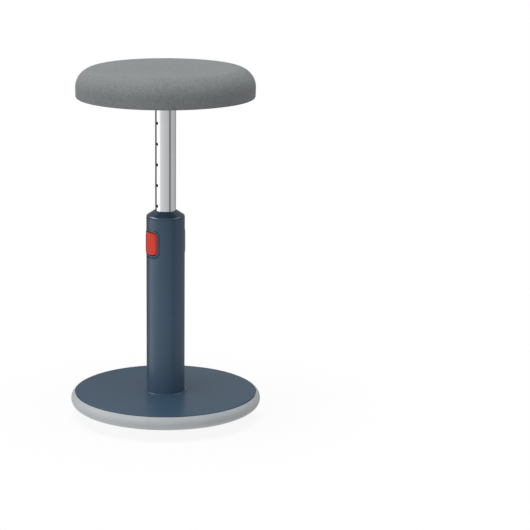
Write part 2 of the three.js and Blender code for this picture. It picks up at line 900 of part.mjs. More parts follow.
Object.entries(housingScrewHeights).forEach(([place, height]) => {
  const length = -guideInner - screwHeadFace - fitGap;
  const screw = screwBody(
    housingScrewHeadRadius,
    housingScrewHeadHeight,
    housingScrewRadius,
    length,
    screwHeadFace - housingScrewHeadHeight,
    screwSides,
  );
  addPiece(`housing_screw_${place}`, screw.rotateX(-Math.PI / 2).translate(0, 0, height), 'steel');
});

// Return spring: an open coil between the housing and the lever's tail
class Coil extends THREE.Curve {
  constructor(radius, length, turns) {
    super();
    this.radius = radius;
    this.length = length;
    this.turns = turns;
  }

  getPoint(t) {
    const angle = 2 * Math.PI * this.turns * t;
    return new THREE.Vector3(
      this.radius * Math.cos(angle),
      this.length * t,
      this.radius * Math.sin(angle),
    );
  }
}

const springNear = housingFace - fitGap - springWireRadius;
const springFar = tailInner + fitGap + springWireRadius;
const wireOutline = new THREE.Shape(
  Array.from({ length: springSides }, (_, i) => {
    const angle = (2 * Math.PI * i) / springSides;
    return new THREE.Vector2(springWireRadius * Math.cos(angle), springWireRadius * Math.sin(angle));
  }),
);
const springGeometry = new THREE.ExtrudeGeometry(wireOutline, {
  steps: springTurns * springStepsPerTurn,
  extrudePath: new Coil(springRadius, springNear - springFar, springTurns),
  bevelEnabled: false,
}).translate(0, springFar, pivotHeight - springBelowPivot);
addPiece('button_spring', springGeometry, 'steel');

// Post tube with its row of holes
const plateTop = seatBottom + coverCloth;
const plateBottom = plateTop - plateThickness;
const tubeTop = plateBottom - fitGap;
const postHoles = Array.from({ length: holeCount }, (_, i) =>
  barAlongY(
    holeRadius,
    -postRadius - cutOverrun,
    -postRadius + postWall + cutOverrun,
    0,
    lockHeight + i * holePitch,
    holeSides,
  ));
addPiece(
  'post_tube',
  cut(ring(postRadius - postWall, postRadius, tubeBottom, tubeTop, postSides), ...postHoles),
  'chrome',
);

// End bush: a skirt that runs in the guide tube, a plug in the post, and a key at the back
const endBushRadius = guideInner - endBushRunningGap;
const plugRadius = postRadius - postWall - fitGap;
const endBushInner = plugRadius - endBushWall;
const endBushRound = turned(
  [
    [endBushInner, postBottom],
    [endBushRadius * Math.cos(Math.PI / mediumSides), postBottom],
    [endBushRadius * Math.cos(Math.PI / mediumSides), postBottom + endBushSkirt],
    [plugRadius, postBottom + endBushSkirt],
    [plugRadius, postBottom + endBushSkirt + endBushPlug],
    [endBushInner, postBottom + endBushSkirt + endBushPlug],
  ],
  mediumSides,
);
const keyReach = guideOuter - fitGap;
const bushKey = new THREE.BoxGeometry(keyWidth, keyReach - plugRadius, endBushSkirt)
  .translate(0, (keyReach + plugRadius) / 2, postBottom + endBushSkirt / 2);
addPiece('post_end_bush', joined(endBushRound, bushKey), 'blackPlastic');

// Seat: mount plate, board, foam, cloth cover and the cloth beneath
const boardRadius = seatRadius - boardInset;
const boardBottom = seatBottom + coverCloth + fitGap;
const boardTop = boardBottom + boardThickness;
const plateHoles = aroundAxis(seatScrewCount, seatScrewCircle, () =>
  disc(seatScrewRadius + fitGap, plateBottom - cutOverrun, plateTop + cutOverrun, boreSides));
addPiece(
  'seat_mount_plate',
  cut(disc(plateRadius, plateBottom, plateTop, mediumSides), ...plateHoles),
  'blackSteel',
);
const seatScrews = aroundAxis(seatScrewCount, seatScrewCircle, () =>
  screwBody(
    seatScrewHeadRadius,
    seatScrewHeadHeight,
    seatScrewRadius,
    seatScrewLength,
    plateBottom - fitGap - seatScrewHeadHeight,
    screwSides,
  ));
seatScrews.forEach((screw, i) => addPiece(`seat_screw_${i + 1}`, screw, 'steel'));
const nutInner = seatScrewRadius + fitGap;
const nutOuter = nutInner + nutBarrelWall;
const nutTop = boardTop - fitGap;
const nutFlangeBottom = nutTop - nutFlangeThickness;
const teeNuts = aroundAxis(seatScrewCount, seatScrewCircle, () =>
  turned(
    [
      [nutInner, nutTop - nutBarrelLength],
      [nutOuter, nutTop - nutBarrelLength],
      [nutOuter, nutFlangeBottom],
      [nutFlangeRadius, nutFlangeBottom],
      [nutFlangeRadius, nutTop],
      [nutInner, nutTop],
    ],
    screwSides,
  ));
teeNuts.forEach((nut, i) => addPiece(`tee_nut_${i + 1}`, nut, 'steel'));
const boardBores = aroundAxis(seatScrewCount, seatScrewCircle, () =>
  disc(nutOuter + fitGap, boardBottom - cutOverrun, boardTop + cutOverrun, boreSides));
const flangeSeats = aroundAxis(seatScrewCount, seatScrewCircle, () =>
  disc(nutFlangeRadius + fitGap, nutFlangeBottom - fitGap, boardTop + cutOverrun, boreSides));
addPiece(
  'seat_board',
  cut(disc(boardRadius, boardBottom, boardTop, mediumSides), ...boardBores, ...flangeSeats),
  'plywood',
);

// The seat's side, shoulder and crown as [radius, height] points from the widest point to
// the middle of the top, all moved inwards by an inset
function seatCurve(inset) {
  const topRadius = seatRadius - seatShoulderWidth - inset / 2;
  const widest = seatRadius - inset;
  const widestHeight = seatBottom + seatWidestHeight;
  const shoulderTop = seatBottom + seatHeight - inset;
  const power = 2 / seatShoulderPower;
  const shoulder = Array.from({ length: seatShoulderSteps + 1 }, (_, i) => {
    const angle = (Math.PI / 2) * (i / seatShoulderSteps);
    return [
      topRadius + (widest - topRadius) * Math.max(Math.cos(angle), 0) ** power,
      widestHeight + (shoulderTop - widestHeight) * Math.sin(angle) ** power,
    ];
  });
  const crown = Array.from({ length: crownSteps }, (_, i) => {
    const share = 1 - (i + 1) / crownSteps;
    return [topRadius * share, shoulderTop + seatCrown * (1 - share ** 2)];
  });
  return [...shoulder, ...crown];
}

const footRadius = seatRadius - seatFootInset;
const wrapInner = seatRadius - coverWrap;
const coverOutside = [
  [wrapInner, seatBottom],
  [footRadius - seatFootRounding, seatBottom],
  [footRadius, seatBottom + seatFootRounding],
  ...seatCurve(0),
];
const coverInside = [
  ...seatCurve(coverCloth).reverse(),
  [footRadius - coverCloth, seatBottom + coverCloth],
  [wrapInner, seatBottom + coverCloth],
];
const coverSolid = turned([...coverOutside, ...coverInside], largeSides);
addPiece('seat_cover', coverSolid, 'greyCloth');
const foamInset = coverCloth + fitGap;
const foamOutline = [
  [0, boardTop + fitGap],
  [boardRadius + fitGap, boardTop + fitGap],
  [boardRadius + fitGap, boardBottom],
  [footRadius - foamInset, boardBottom],
  ...seatCurve(foamInset),
];
addPiece('seat_foam', turned(foamOutline, largeSides), 'foam');
addPiece(
  'seat_underside_cover',
  ring(plateRadius + fitGap, wrapInner - fitGap, plateTop - undersideThickness, plateTop, mediumSides),
  'blackCloth',
);

export default stool;
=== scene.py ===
"""Looks of the wobble stool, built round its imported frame. Metres, +Z up; the button faces -Y."""

import json
import math

import bmesh
import bpy
import numpy as np
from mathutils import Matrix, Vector, noise


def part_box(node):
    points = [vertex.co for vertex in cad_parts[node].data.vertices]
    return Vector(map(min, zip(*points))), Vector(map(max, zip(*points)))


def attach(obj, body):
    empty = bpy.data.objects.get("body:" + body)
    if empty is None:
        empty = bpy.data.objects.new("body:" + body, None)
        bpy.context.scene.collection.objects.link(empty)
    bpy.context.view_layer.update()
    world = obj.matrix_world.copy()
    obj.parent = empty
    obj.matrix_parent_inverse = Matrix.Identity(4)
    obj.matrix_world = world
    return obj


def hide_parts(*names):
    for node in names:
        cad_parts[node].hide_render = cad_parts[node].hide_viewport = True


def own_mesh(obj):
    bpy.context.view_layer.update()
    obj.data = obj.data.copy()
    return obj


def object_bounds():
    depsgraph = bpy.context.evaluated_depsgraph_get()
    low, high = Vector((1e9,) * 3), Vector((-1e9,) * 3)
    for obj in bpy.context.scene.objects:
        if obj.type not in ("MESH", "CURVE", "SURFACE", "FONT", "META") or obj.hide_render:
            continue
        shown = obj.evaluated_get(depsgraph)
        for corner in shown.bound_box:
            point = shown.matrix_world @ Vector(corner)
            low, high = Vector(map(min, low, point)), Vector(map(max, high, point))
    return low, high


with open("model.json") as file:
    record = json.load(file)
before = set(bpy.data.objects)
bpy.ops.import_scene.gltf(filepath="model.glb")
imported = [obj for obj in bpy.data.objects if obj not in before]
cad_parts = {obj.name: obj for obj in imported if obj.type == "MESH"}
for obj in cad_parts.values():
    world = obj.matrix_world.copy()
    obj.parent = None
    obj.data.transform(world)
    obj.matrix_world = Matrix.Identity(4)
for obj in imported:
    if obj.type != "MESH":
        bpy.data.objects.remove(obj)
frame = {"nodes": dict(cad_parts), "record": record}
cad_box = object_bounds()

MM = 0.001
IMAGE_SIDE = 530

# Camera: its place seen from the post's axis, and where that axis stands in the picture
CAMERA_AZIMUTH = math.radians(54)
CAMERA_PITCH = math.radians(13.162)
CAMERA_DISTANCE = 3.7653
CAMERA_HEIGHT = 1.1815
FOCAL_PIXELS = 2001
AXIS_PIXEL = 165.6
SENSOR_WIDTH = 36

# Fineness of the meshes
ROUND_SEGMENTS = 192
POST_SEGMENTS = 256
SMALL_SEGMENTS = 48
CORNER_STEPS = 8
SIDE_STEPS = 10
FILL_STEPS = 6
SHARP_ANGLE = math.radians(38)


def add_object(name, data):
    made = bpy.data.objects.new(name, data)
    bpy.context.scene.collection.objects.link(made)
    return made


def add_camera():
    data = bpy.data.cameras.new("camera")
    data.sensor_width = SENSOR_WIDTH
    data.lens = FOCAL_PIXELS * SENSOR_WIDTH / IMAGE_SIDE
    data.shift_x = (IMAGE_SIDE / 2 - AXIS_PIXEL) / IMAGE_SIDE
    camera = add_object("camera", data)
    level = Vector((math.sin(CAMERA_AZIMUTH), -math.cos(CAMERA_AZIMUTH), 0))
    camera.location = level * CAMERA_DISTANCE + Vector((0, 0, CAMERA_HEIGHT))
    camera.rotation_euler = (math.pi / 2 - CAMERA_PITCH, 0, CAMERA_AZIMUTH)
    bpy.context.scene.camera = camera


# Node trees


def add_node(tree, kind, inputs=None, **settings):
    """A node with its settings made, and its inputs given a value or joined to a socket."""
    node = tree.nodes.new(kind)
    for name, value in settings.items():
        setattr(node, name, value)
    for socket, value in (inputs or {}).items():
        if isinstance(value, bpy.types.NodeSocket):
            tree.links.new(value, node.inputs[socket])
        else:
            node.inputs[socket].default_value = value
    return node


def new_material(name, colour, roughness, **sockets):
    """A material, its node tree and its shader, whose other sockets are given by name."""
    material = bpy.data.materials.new(name)
    material.use_nodes = True
    tree = material.node_tree
    shader = tree.nodes["Principled BSDF"]
    shader.inputs["Base Color"].default_value = (*colour, 1)
    shader.inputs["Roughness"].default_value = roughness
    for socket, value in sockets.items():
        shader.inputs[socket.replace("_", " ")].default_value = value
    return material, tree, shader


def own_place(tree):
    """Where a point is in its own object, in metres."""
    return add_node(tree, "ShaderNodeTexCoord").outputs["Object"]


def stretched(tree, place, sizes):
    """The place measured in those sizes, one for each direction."""
    scale = [1 / size for size in sizes]
    return add_node(tree, "ShaderNodeMapping", {"Vector": place, "Scale": scale}).outputs["Vector"]


def noise_at(tree, place, scale, detail, roughness, dimensions):
    inputs = {"Vector": place, "Scale": scale, "Detail": detail, "Roughness": roughness}
    node = add_node(tree, "ShaderNodeTexNoise", inputs, noise_dimensions=dimensions)
    return node.outputs["Fac"]


def object_noise(tree, size, detail=3, stretch=(1, 1, 1), roughness=0.5):
    """Noise in the object's own place, whose features are about size metres across."""
    place = stretched(tree, own_place(tree), stretch)
    return noise_at(tree, place, 1 / size, detail, roughness, "3D")


def spread(tree, value, low, high, to_low, to_high):
    """The value's range from low to high, stretched to another one."""
    inputs = {"Value": value, "From Min": low, "From Max": high}
    inputs |= {"To Min": to_low, "To Max": to_high}
    return add_node(tree, "ShaderNodeMapRange", inputs).outputs["Result"]


def arithmetic(tree, operation, first, second=0.0):
    node = add_node(tree, "ShaderNodeMath", {0: first, 1: second}, operation=operation)
    return node.outputs["Value"]


def mixed(tree, share, first, second):
    """A colour between two, each a socket or a tuple."""
    inputs = {0: share}
    for socket, colour in ((6, first), (7, second)):
        inputs[socket] = (*colour, 1) if isinstance(colour, tuple) else colour
    return add_node(tree, "ShaderNodeMix", inputs, data_type="RGBA").outputs[2]


def scaled_colour(colour, factor):
    return tuple(min(channel * factor, 1.0) for channel in colour)


def stained(tree, body, value, low, high, share, colour, factor=1.0):
    """The body's colour, with up to that share of a multiple of colour where the value is high."""
    amount = spread(tree, value, low, high, 0, share)
    return mixed(tree, amount, body, scaled_colour(colour, factor))


def bump(tree, shader, height, depth):
    """Relief of that depth in metres, added to what the shader's normal already has."""
    inputs = {"Height": height, "Distance": depth}
    if shader.inputs["Normal"].links:
        inputs["Normal"] = shader.inputs["Normal"].links[0].from_socket
    node = add_node(tree, "ShaderNodeBump", inputs)
    tree.links.new(node.outputs["Normal"], shader.inputs["Normal"])


# Materials


def moulded(name, colour, roughness, grain, depth, mottle=0.05, wear=0.1, **sockets):
    """Plastic, rubber or coated metal: fine grain, slow mottling, faint scuffs, pale edges."""
    material, tree, shader = new_material(name, colour, roughness, **sockets)
    slow = object_noise(tree, 0.07, 4)
    pale = scaled_colour(colour, 1 + mottle)
    dark = scaled_colour(colour, 1 - mottle)
    body = stained(tree, dark, slow, 0.35, 0.65, 1, colour, 1 + mottle)
    scratches = object_noise(tree, 0.012, 5, stretch=(3.5, 3.5, 1), roughness=0.65)
    scuffs = spread(tree, scratches, 0.6, 0.74, 0, 1)
    body = mixed(tree, arithmetic(tree, "MULTIPLY", scuffs, wear), body, pale)
    pointiness = add_node(tree, "ShaderNodeNewGeometry").outputs["Pointiness"]
    body = stained(tree, body, pointiness, 0.52, 0.6, wear, colour, 1.7)
    tree.links.new(body, shader.inputs["Base Color"])
    fine = object_noise(tree, grain, 2)
    rough = arithmetic(tree, "ADD", spread(tree, slow, 0.3, 0.7, -0.015, 0.015), roughness)
    rough = arithmetic(tree, "ADD", rough, arithmetic(tree, "MULTIPLY", scuffs, 0.02))
    tree.links.new(rough, shader.inputs["Roughness"])
    bump(tree, shader, fine, depth)
    return material


def metal(name, colour, roughness, stretch, depth=0.004 * MM, spots=0.1):
    """Bare or plated metal, with streaks along the longest side of stretch."""
    material, tree, shader = new_material(name, colour, roughness, Metallic=1.0)
    streaks = object_noise(tree, 0.4 * MM, 3, stretch=stretch)
    clouds = object_noise(tree, 0.05, 4)
    body = stained(tree, colour, clouds, 0.4, 0.7, 1, colour, 1 - spots)
    tree.links.new(body, shader.inputs["Base Color"])
    rough = arithmetic(tree, "ADD", spread(tree, clouds, 0.3, 0.7, -0.02, 0.04), roughness)
    rough = arithmetic(tree, "ADD", rough, spread(tree, streaks, 0.4, 0.6, -0.01, 0.01))
    tree.links.new(rough, shader.inputs["Roughness"])
    bump(tree, shader, streaks, depth)
    return material


# Sizes in the seat's cloth, and the name of its flat map
YARN = 1.1 * MM
BLOTCH = 2.6 * MM
SPECK = 2.6 * MM
SLUB_WIDTH = 1.8 * MM
SLUB_LENGTH = 10 * MM
FLAT_MAP = "flat_cloth"


def ridges(tree, value, width):
    """Rounded ridges of that width: 1 on their tops and 0 between them."""
    waves = arithmetic(tree, "SINE", arithmetic(tree, "MULTIPLY", value, math.pi / width))
    return arithmetic(tree, "ABSOLUTE", waves)


def woven(name, colour, contrast):
    """Plain weave of mixed yarns, laid out by the cloth's own flat map in metres, with painted shade
    in the gaps between the yarns.
    """
    material, tree, shader = new_material(
        name, colour, 0.9, Sheen_Weight=0.12, Sheen_Roughness=0.5, Specular_IOR_Level=0.05
    )
    flat = add_node(tree, "ShaderNodeUVMap", uv_map=FLAT_MAP).outputs["UV"]
    parts = add_node(tree, "ShaderNodeSeparateXYZ", {"Vector": flat})
    warp = ridges(tree, parts.outputs["X"], YARN)
    weft = ridges(tree, parts.outputs["Y"], YARN)
    squares = {"Vector": flat, "Scale": 1 / YARN}
    over = add_node(tree, "ShaderNodeTexChecker", squares).outputs["Fac"]
    weave = add_node(tree, "ShaderNodeMix", {0: over, 2: warp, 3: weft}).outputs[0]
    yarns = noise_at(tree, flat, 1 / BLOTCH, 4, 0.7, "2D")
    specks = noise_at(tree, flat, 1 / SPECK, 2, 0.6, "2D")
    slubs = [
        noise_at(tree, stretched(tree, flat, sizes), 1, 2, 0.5, "2D")
        for sizes in ((SLUB_WIDTH, SLUB_LENGTH, 1), (SLUB_LENGTH, SLUB_WIDTH, 1))
    ]
    slub = arithmetic(tree, "MAXIMUM", *slubs)
    slow = object_noise(tree, 0.06)
    dark = scaled_colour(colour, 1 - contrast)
    body = stained(tree, dark, yarns, 0.35, 0.65, 1, colour, 1 + contrast)
    # Painted shade: darker in the gaps between the yarns, where the weave is low
    body = mixed(tree, spread(tree, weave, 0, 0.5, 0.35, 0), body, scaled_colour(colour, 0.55))
    body = stained(tree, body, specks, 0.57, 0.66, 0.65, colour, 0.36)
    body = stained(tree, body, slub, 0.6, 0.7, 0.45, colour, 0.48)
    body = stained(tree, body, slow, 0.4, 0.6, 0.12, colour, 1.12)
    tree.links.new(body, shader.inputs["Base Color"])
    bump(tree, shader, yarns, 0.1 * MM)
    bump(tree, shader, weave, 0.12 * MM)
    return material


def felted(name, colour):
    """Thin non-woven cloth: bonded dots and loose fibres."""
    material, tree, shader = new_material(name, colour, 0.95, Sheen_Weight=0.1)
    spots = {"Vector": own_place(tree), "Scale": 1 / (1.6 * MM), "Randomness": 0.25}
    dots = add_node(tree, "ShaderNodeTexVoronoi", spots).outputs["Distance"]
    fibres = object_noise(tree, 0.5 * MM, 4)
    body = stained(tree, colour, fibres, 0.35, 0.7, 1, colour, 2.2)
    tree.links.new(body, shader.inputs["Base Color"])
    bump(tree, shader, fibres, 0.05 * MM)
    bump(tree, shader, dots, 0.08 * MM)
    return material


def plywood(name, colour):
    """Thin plies, light and dark in turn through the thickness, with long grain on the faces."""
    material, tree, shader = new_material(name, colour, 0.6)
    height = add_node(tree, "ShaderNodeSeparateXYZ", {"Vector": own_place(tree)}).outputs["Z"]
    plies = arithmetic(tree, "SINE", arithmetic(tree, "MULTIPLY", height, math.pi / (1.4 * MM)))
    grain = object_noise(tree, 1.2 * MM, 5, stretch=(1, 25, 1))
    body = stained(tree, scaled_colour(colour, 0.72), grain, 0.35, 0.65, 1, colour)
    body = stained(tree, body, plies, -0.2, 0.2, 0.4, colour, 0.6)
    tree.links.new(body, shader.inputs["Base Color"])
    bump(tree, shader, grain, 0.08 * MM)
    return material


def foamed(name, colour):
    """Cut foam with open cells."""
    material, tree, shader = new_material(name, colour, 0.95)
    scattered = {"Vector": own_place(tree), "Scale": 1 / (1.1 * MM)}
    cells = add_node(tree, "ShaderNodeTexVoronoi", scattered).outputs["Distance"]
    body = stained(tree, colour, cells, 0.1, 0.6, 1, colour, 0.7)
    tree.links.new(body, shader.inputs["Base Color"])
    bump(tree, shader, cells, 0.3 * MM)
    return material


# Colours of what shows in the photograph
BLUE = (0.0435, 0.0855, 0.138)
SOFT_GREY = (0.406, 0.43, 0.446)
RED = (0.72, 0.053, 0.034)
CLOTH_GREY = (0.262, 0.278, 0.283)


def make_materials():
    """A material for each of the record's slots and one more for glossy blue plastic."""
    # The frame's own plain materials would take the names
    for plain in list(bpy.data.materials):
        bpy.data.materials.remove(plain)
    made = [
        moulded(
            "blue_shell", BLUE, 0.3, 0.45 * MM, 0.004 * MM, 0.04, 0.08, Specular_IOR_Level=0.45
        ),
        moulded(
            "blue_gloss", BLUE, 0.15, 0.45 * MM, 0.001 * MM, 0.04, 0.08, Specular_IOR_Level=0.85
        ),
        moulded("grey_soft", SOFT_GREY, 0.6, 0.5 * MM, 0.02 * MM, 0.03, 0.08),
        moulded("grey_shell", SOFT_GREY, 0.55, 0.7 * MM, 0.02 * MM, 0.03, 0.15),
        moulded("red_button", RED, 0.5, 0.3 * MM, 0.008 * MM, 0.03, Specular_IOR_Level=0.15),
        metal("post_chrome", (0.85, 0.87, 0.89), 0.07, (1, 1, 40), spots=0.02),
        metal("zinc_steel", (0.56, 0.57, 0.58), 0.32, (1, 1, 12), depth=0.01 * MM),
        moulded("black_steel", (0.02, 0.021, 0.023), 0.45, 0.5 * MM, 0.03 * MM),
        moulded("cast_iron", (0.08, 0.08, 0.082), 0.65, 1.4 * MM, 0.2 * MM, 0.15, 0.3, Metallic=0.8),
        moulded("black_plastic", (0.02, 0.021, 0.022), 0.5, 0.5 * MM, 0.02 * MM),
        moulded("dark_rubber", (0.03, 0.031, 0.033), 0.8, 0.6 * MM, 0.05 * MM),
        plywood("plywood", (0.48, 0.31, 0.16)),
        foamed("foam", (0.7, 0.63, 0.36)),
        woven("grey_cloth", CLOTH_GREY, 0.24),
        felted("black_cloth", (0.012, 0.012, 0.013)),
    ]
    return {material.name: material for material in made}


# Meshes


def closed_mesh(name, vertices, faces):
    """A mesh whose faces all look outwards."""
    mesh = bpy.data.meshes.new(name)
    mesh.from_pydata(vertices, [], faces)
    work = bmesh.new()
    work.from_mesh(mesh)
    bmesh.ops.recalc_face_normals(work, faces=work.faces)
    work.to_mesh(mesh)
    work.free()
    return mesh


def add_piece(name, part, slot, body, *replaced):
    """A piece of the object from its (vertices, faces), riding on a body."""
    piece = add_object(name, closed_mesh(name, *part))
    piece.data.materials.append(materials[slot])
    soften(piece)
    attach(piece, body)
    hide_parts(*replaced)
    return piece


def soften(piece):
    """Smooth shading, apart from edges sharper than SHARP_ANGLE."""
    mesh = piece.data
    mesh.polygons.foreach_set("use_smooth", [True] * len(mesh.polygons))
    mesh.set_sharp_from_angle(angle=SHARP_ANGLE)


def arc(radius, height, size, start, end, steps=CORNER_STEPS):
    """(radius, height) points along an arc of that size, from one angle to another in degrees."""
    angles = np.radians(np.linspace(start, end, steps + 1))
    return [(radius + size * math.cos(a), height + size * math.sin(a)) for a in angles]


def eased(outline, steps=3):
    """A closed outline of (radius, height, easing): each corner is rounded off by its easing."""
    points = []
    for i, (radius, height, *easing) in enumerate(outline):
        corner = Vector((radius, height))
        if not any(easing):
            points.append((radius, height))
            continue
        ends = []
        for other in (outline[i - 1], outline[(i + 1) % len(outline)]):
            away = Vector(other[:2]) - corner
            ends.append(corner + away * min(easing[0] / away.length, 0.5))
        for s in np.linspace(0, 1, steps + 1):
            point = ends[0] * (1 - s) ** 2 + corner * 2 * s * (1 - s) + ends[1] * s**2
            points.append(tuple(point))
    return points


def ring_faces(one, other):
    """Faces between two closed loops of vertex numbers, either of which may be one vertex."""
    faces = []
    for i in range(len(one)):
        j = (i + 1) % len(one)
        face = list(dict.fromkeys((one[i], one[j], other[j], other[i])))
        if len(face) > 2:
            faces.append(face)
    return faces


def skin(rings):
    """Faces between each loop of vertex numbers and the next."""
    return [face for one, other in zip(rings, rings[1:]) for face in ring_faces(one, other)]


def turned(outline, segments=ROUND_SEGMENTS, flats=()):
    """A body turned about Z. An outline that starts and ends on the axis stays open, and
    another is closed. Points whose index is in flats follow a hexagon and not a circle."""
    vertices, rings = [], []
    angles = [2 * math.pi * i / segments for i in range(segments)]
    for index, (radius, height) in enumerate(outline):
        start = len(vertices)
        if radius == 0:
            vertices.append((0, 0, height))
            rings.append([start] * segments)
            continue
        for a in angles:
            off_flat = (a + math.pi / 6) % (math.pi / 3) - math.pi / 6
            across = radius * math.cos(math.pi / 6) / math.cos(off_flat)
            r = across if index in flats else radius
            vertices.append((r * math.cos(a), r * math.sin(a), height))
        rings.append(list(range(start, start + segments)))
    return vertices, skin(rings if outline[0][0] == 0 else rings + rings[:1])


def collar(inner, outer, bottom, top, easings=(0, 0, 0, 0), steps=3, segments=ROUND_SEGMENTS):
    """A ring with a rectangular section. Its corners' easings start at the inner lower one and
    go round by the outer ones."""
    corners = ((inner, bottom), (outer, bottom), (outer, top), (inner, top))
    outline = [(*corner, easing) for corner, easing in zip(corners, easings)]
    return turned(eased(outline, steps), segments)


def cylinder(radius, bottom, top, segments=SMALL_SEGMENTS):
    return collar(0, radius, bottom, top, segments=segments)


def shifted(part, x=0.0, z=0.0):
    vertices, faces = part
    return [(a + x, b, c + z) for a, b, c in vertices], faces


def rotated(part, angle):
    """A part turned about Z."""
    vertices, faces = part
    c, s = math.cos(angle), math.sin(angle)
    return [(x * c - y * s, x * s + y * c, z) for x, y, z in vertices], faces


def facing_front(part, height):
    """A part turned about Z, laid down so that its own height runs along Y."""
    vertices, faces = part
    return [(x, z, height - y) for x, y, z in vertices], faces


def gathered(*parts):
    """Several (vertices, faces) parts as one."""
    vertices, faces = [], []
    for part_vertices, part_faces in parts:
        faces += [[i + len(vertices) for i in face] for face in part_faces]
        vertices += part_vertices
    return vertices, faces


def around(count, radius, part):
    """Copies of a part set evenly round the axis, the first half a step from +X."""
    angles = [2 * math.pi * (i + 1 / 2) / count for i in range(count)]
    return [rotated(shifted(part, radius), a) for a in angles]


def block(low, high):
    """A box between two corners."""
    (x0, y0, z0), (x1, y1, z1) = low, high
    vertices = [(x, y, z) for z in (z0, z1) for x, y in ((x0, y0), (x1, y0), (x1, y1), (x0, y1))]
    faces = [[0, 3, 2, 1], [4, 5, 6, 7]]
    faces += [[i, (i + 1) % 4, (i + 1) % 4 + 4, i + 4] for i in range(4)]
    return vertices, faces


def rounded_rectangle(half_width, half_height, corner):
    """(x, z) points of a rounded rectangle, as many for every size."""
    points = []
    for i, (sx, sz) in enumerate(((1, 1), (-1, 1), (-1, -1), (1, -1))):
        centre = (sx * (half_width - corner), sz * (half_height - corner))
        points += arc(*centre, corner, 90 * i, 90 * (i + 1))
    sided = []
    for i, point in enumerate(points):
        sided.append(point)
        if i % (CORNER_STEPS + 1) == CORNER_STEPS:
            following = points[(i + 1) % len(points)]
            for share in np.linspace(0, 1, SIDE_STEPS + 1)[1:-1]:
                sided.append(tuple(a + (b - a) * share for a, b in zip(point, following)))
    return sided


def wrapped(loops, centre_height, ring=False):
    """A panel that follows the column and faces -Y. Each loop is (half width, half height,
    corner, reach from the axis). A panel that is no ring is filled at both ends."""
    outlines = [(rounded_rectangle(*loop[:3]), loop[3]) for loop in loops]
    if not ring:
        shares = np.linspace(1, 0, FILL_STEPS + 1)[1:]
        (first, first_reach), (last, last_reach) = outlines[0], outlines[-1]
        start = [([(x * s, z * s) for x, z in first], first_reach) for s in shares[::-1]]
        end = [([(x * s, z * s) for x, z in last], last_reach) for s in shares]
        outlines = start + outlines + end
    vertices, rings = [], []
    for points, reach in outlines:
        start = len(vertices)
        if points[0] == (0, 0):
            rings.append([start] * len(points))
            vertices.append((0, -reach, centre_height))
            continue
        rings.append(list(range(start, start + len(points))))
        vertices += [(x, -math.sqrt(reach**2 - x**2), centre_height + z) for x, z in points]
    return vertices, skin(rings + rings[:1] if ring else rings)


def combined(piece, part, operation):
    """Joins a (vertices, faces) part to the piece, or cuts it out."""
    tool = add_object("tool", closed_mesh("tool", *part))
    modifier = piece.modifiers.new("tool", "BOOLEAN")
    modifier.object = tool
    modifier.operation = operation
    modifier.solver = "EXACT"
    apply_modifiers(piece)
    bpy.data.objects.remove(tool)
    soften(piece)
    return piece


def apply_modifiers(piece):
    graph = bpy.context.evaluated_depsgraph_get()
    mesh = bpy.data.meshes.new_from_object(piece.evaluated_get(graph))
    piece.modifiers.clear()
    piece.data = mesh


def round_walls(piece, *radii):
    """Gives the upright walls of these radii the shading of true cylinders."""
    mesh = piece.data
    tolerance = 0.1 * MM
    normals = []
    for loop in mesh.loops:
        place = mesh.vertices[loop.vertex_index].co
        radius = math.hypot(place.x, place.y)
        if min(abs(radius - wall) for wall in radii) > tolerance or abs(loop.normal.z) > 0.5:
            normals.append(loop.normal.copy())
            continue
        outward = Vector((place.x, place.y, 0)) / radius
        side = outward.dot(loop.normal)
        normals.append(outward * math.copysign(1, side) if abs(side) > 0.5 else loop.normal.copy())
    mesh.normals_split_custom_set(normals)


# Base


base_radius = cad_box[1].x
base_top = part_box("base_cover")[1].z
# The photograph shows the blue disc this much smaller than the solid
COVER_DRAW_IN = 1.5 * MM
cover_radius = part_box("base_cover")[1].x - COVER_DRAW_IN
COVER_HOLE = 22.7 * MM
COVER_THICKNESS = 3 * MM
COVER_EDGES = (0, 0.4 * MM, 1 * MM, 0.3 * MM)
cover_bottom = base_top - COVER_THICKNESS
sole_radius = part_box("sole_pad")[1].x
GAP = 0.3 * MM

# Soft rim: its round section, the channel beside the blue disc, and the degrees left free
# between the rim and the shell's edge
RIM_SECTION = 14 * MM
RIM_CENTRE_DROP = 13.6 * MM
RIM_INSIDE = 167.3 * MM
RIM_GROOVE = 1.5 * MM
GROOVE_DEPTH = 6 * MM
RIM_EDGE_ANGLE = 1.2

# Domed shell, and the grooved pad in its middle
DOME_RADIUS = 635.3 * MM
SHELL_THICKNESS = 4 * MM
SHELL_FLOOR = 12.3 * MM
SOLE_RECESS = 4.3 * MM
SOLE_THICKNESS = 4 * MM
SOLE_BEVEL = 1 * MM
TREAD_GROOVE = 1.6 * MM
TREAD_DEPTH = 0.9 * MM
TREAD_LAND = 5 * MM

# Screws of the base, their bosses as (bottom, top), and the ribs between
BASE_SCREWS = 6
BASE_SCREW_CIRCLE = 160 * MM
BOSS_RADIUS = 7 * MM
COVER_BOSS = (36 * MM, 48.5 * MM)
SHELL_BOSS = (26 * MM, 35 * MM)
SCREW_BORE = (20 * MM, 60 * MM)
SCREW_BORE_RADIUS = 2.3 * MM
SCREW_PIT_RADIUS = 4.3 * MM
SCREW_PIT_DEPTH = 4.1 * MM
RIB_SPAN = (37.1 * MM, 156.5 * MM)
RIB_HALF = 1.2 * MM
BOSS_SEGMENTS = 32
BORE_SEGMENTS = 24

dome_centre = math.sqrt(DOME_RADIUS**2 - sole_radius**2)
rim_centre = (base_radius - RIM_SECTION, base_top - RIM_CENTRE_DROP)
dome_edge = math.degrees(math.atan2(rim_centre[1] - dome_centre, rim_centre[0]))


def dome_height(radius, inset=0.0):
    """Height of the dome, or of a surface inset from it, at that radius."""
    return dome_centre - math.sqrt((DOME_RADIUS - inset) ** 2 - radius**2)


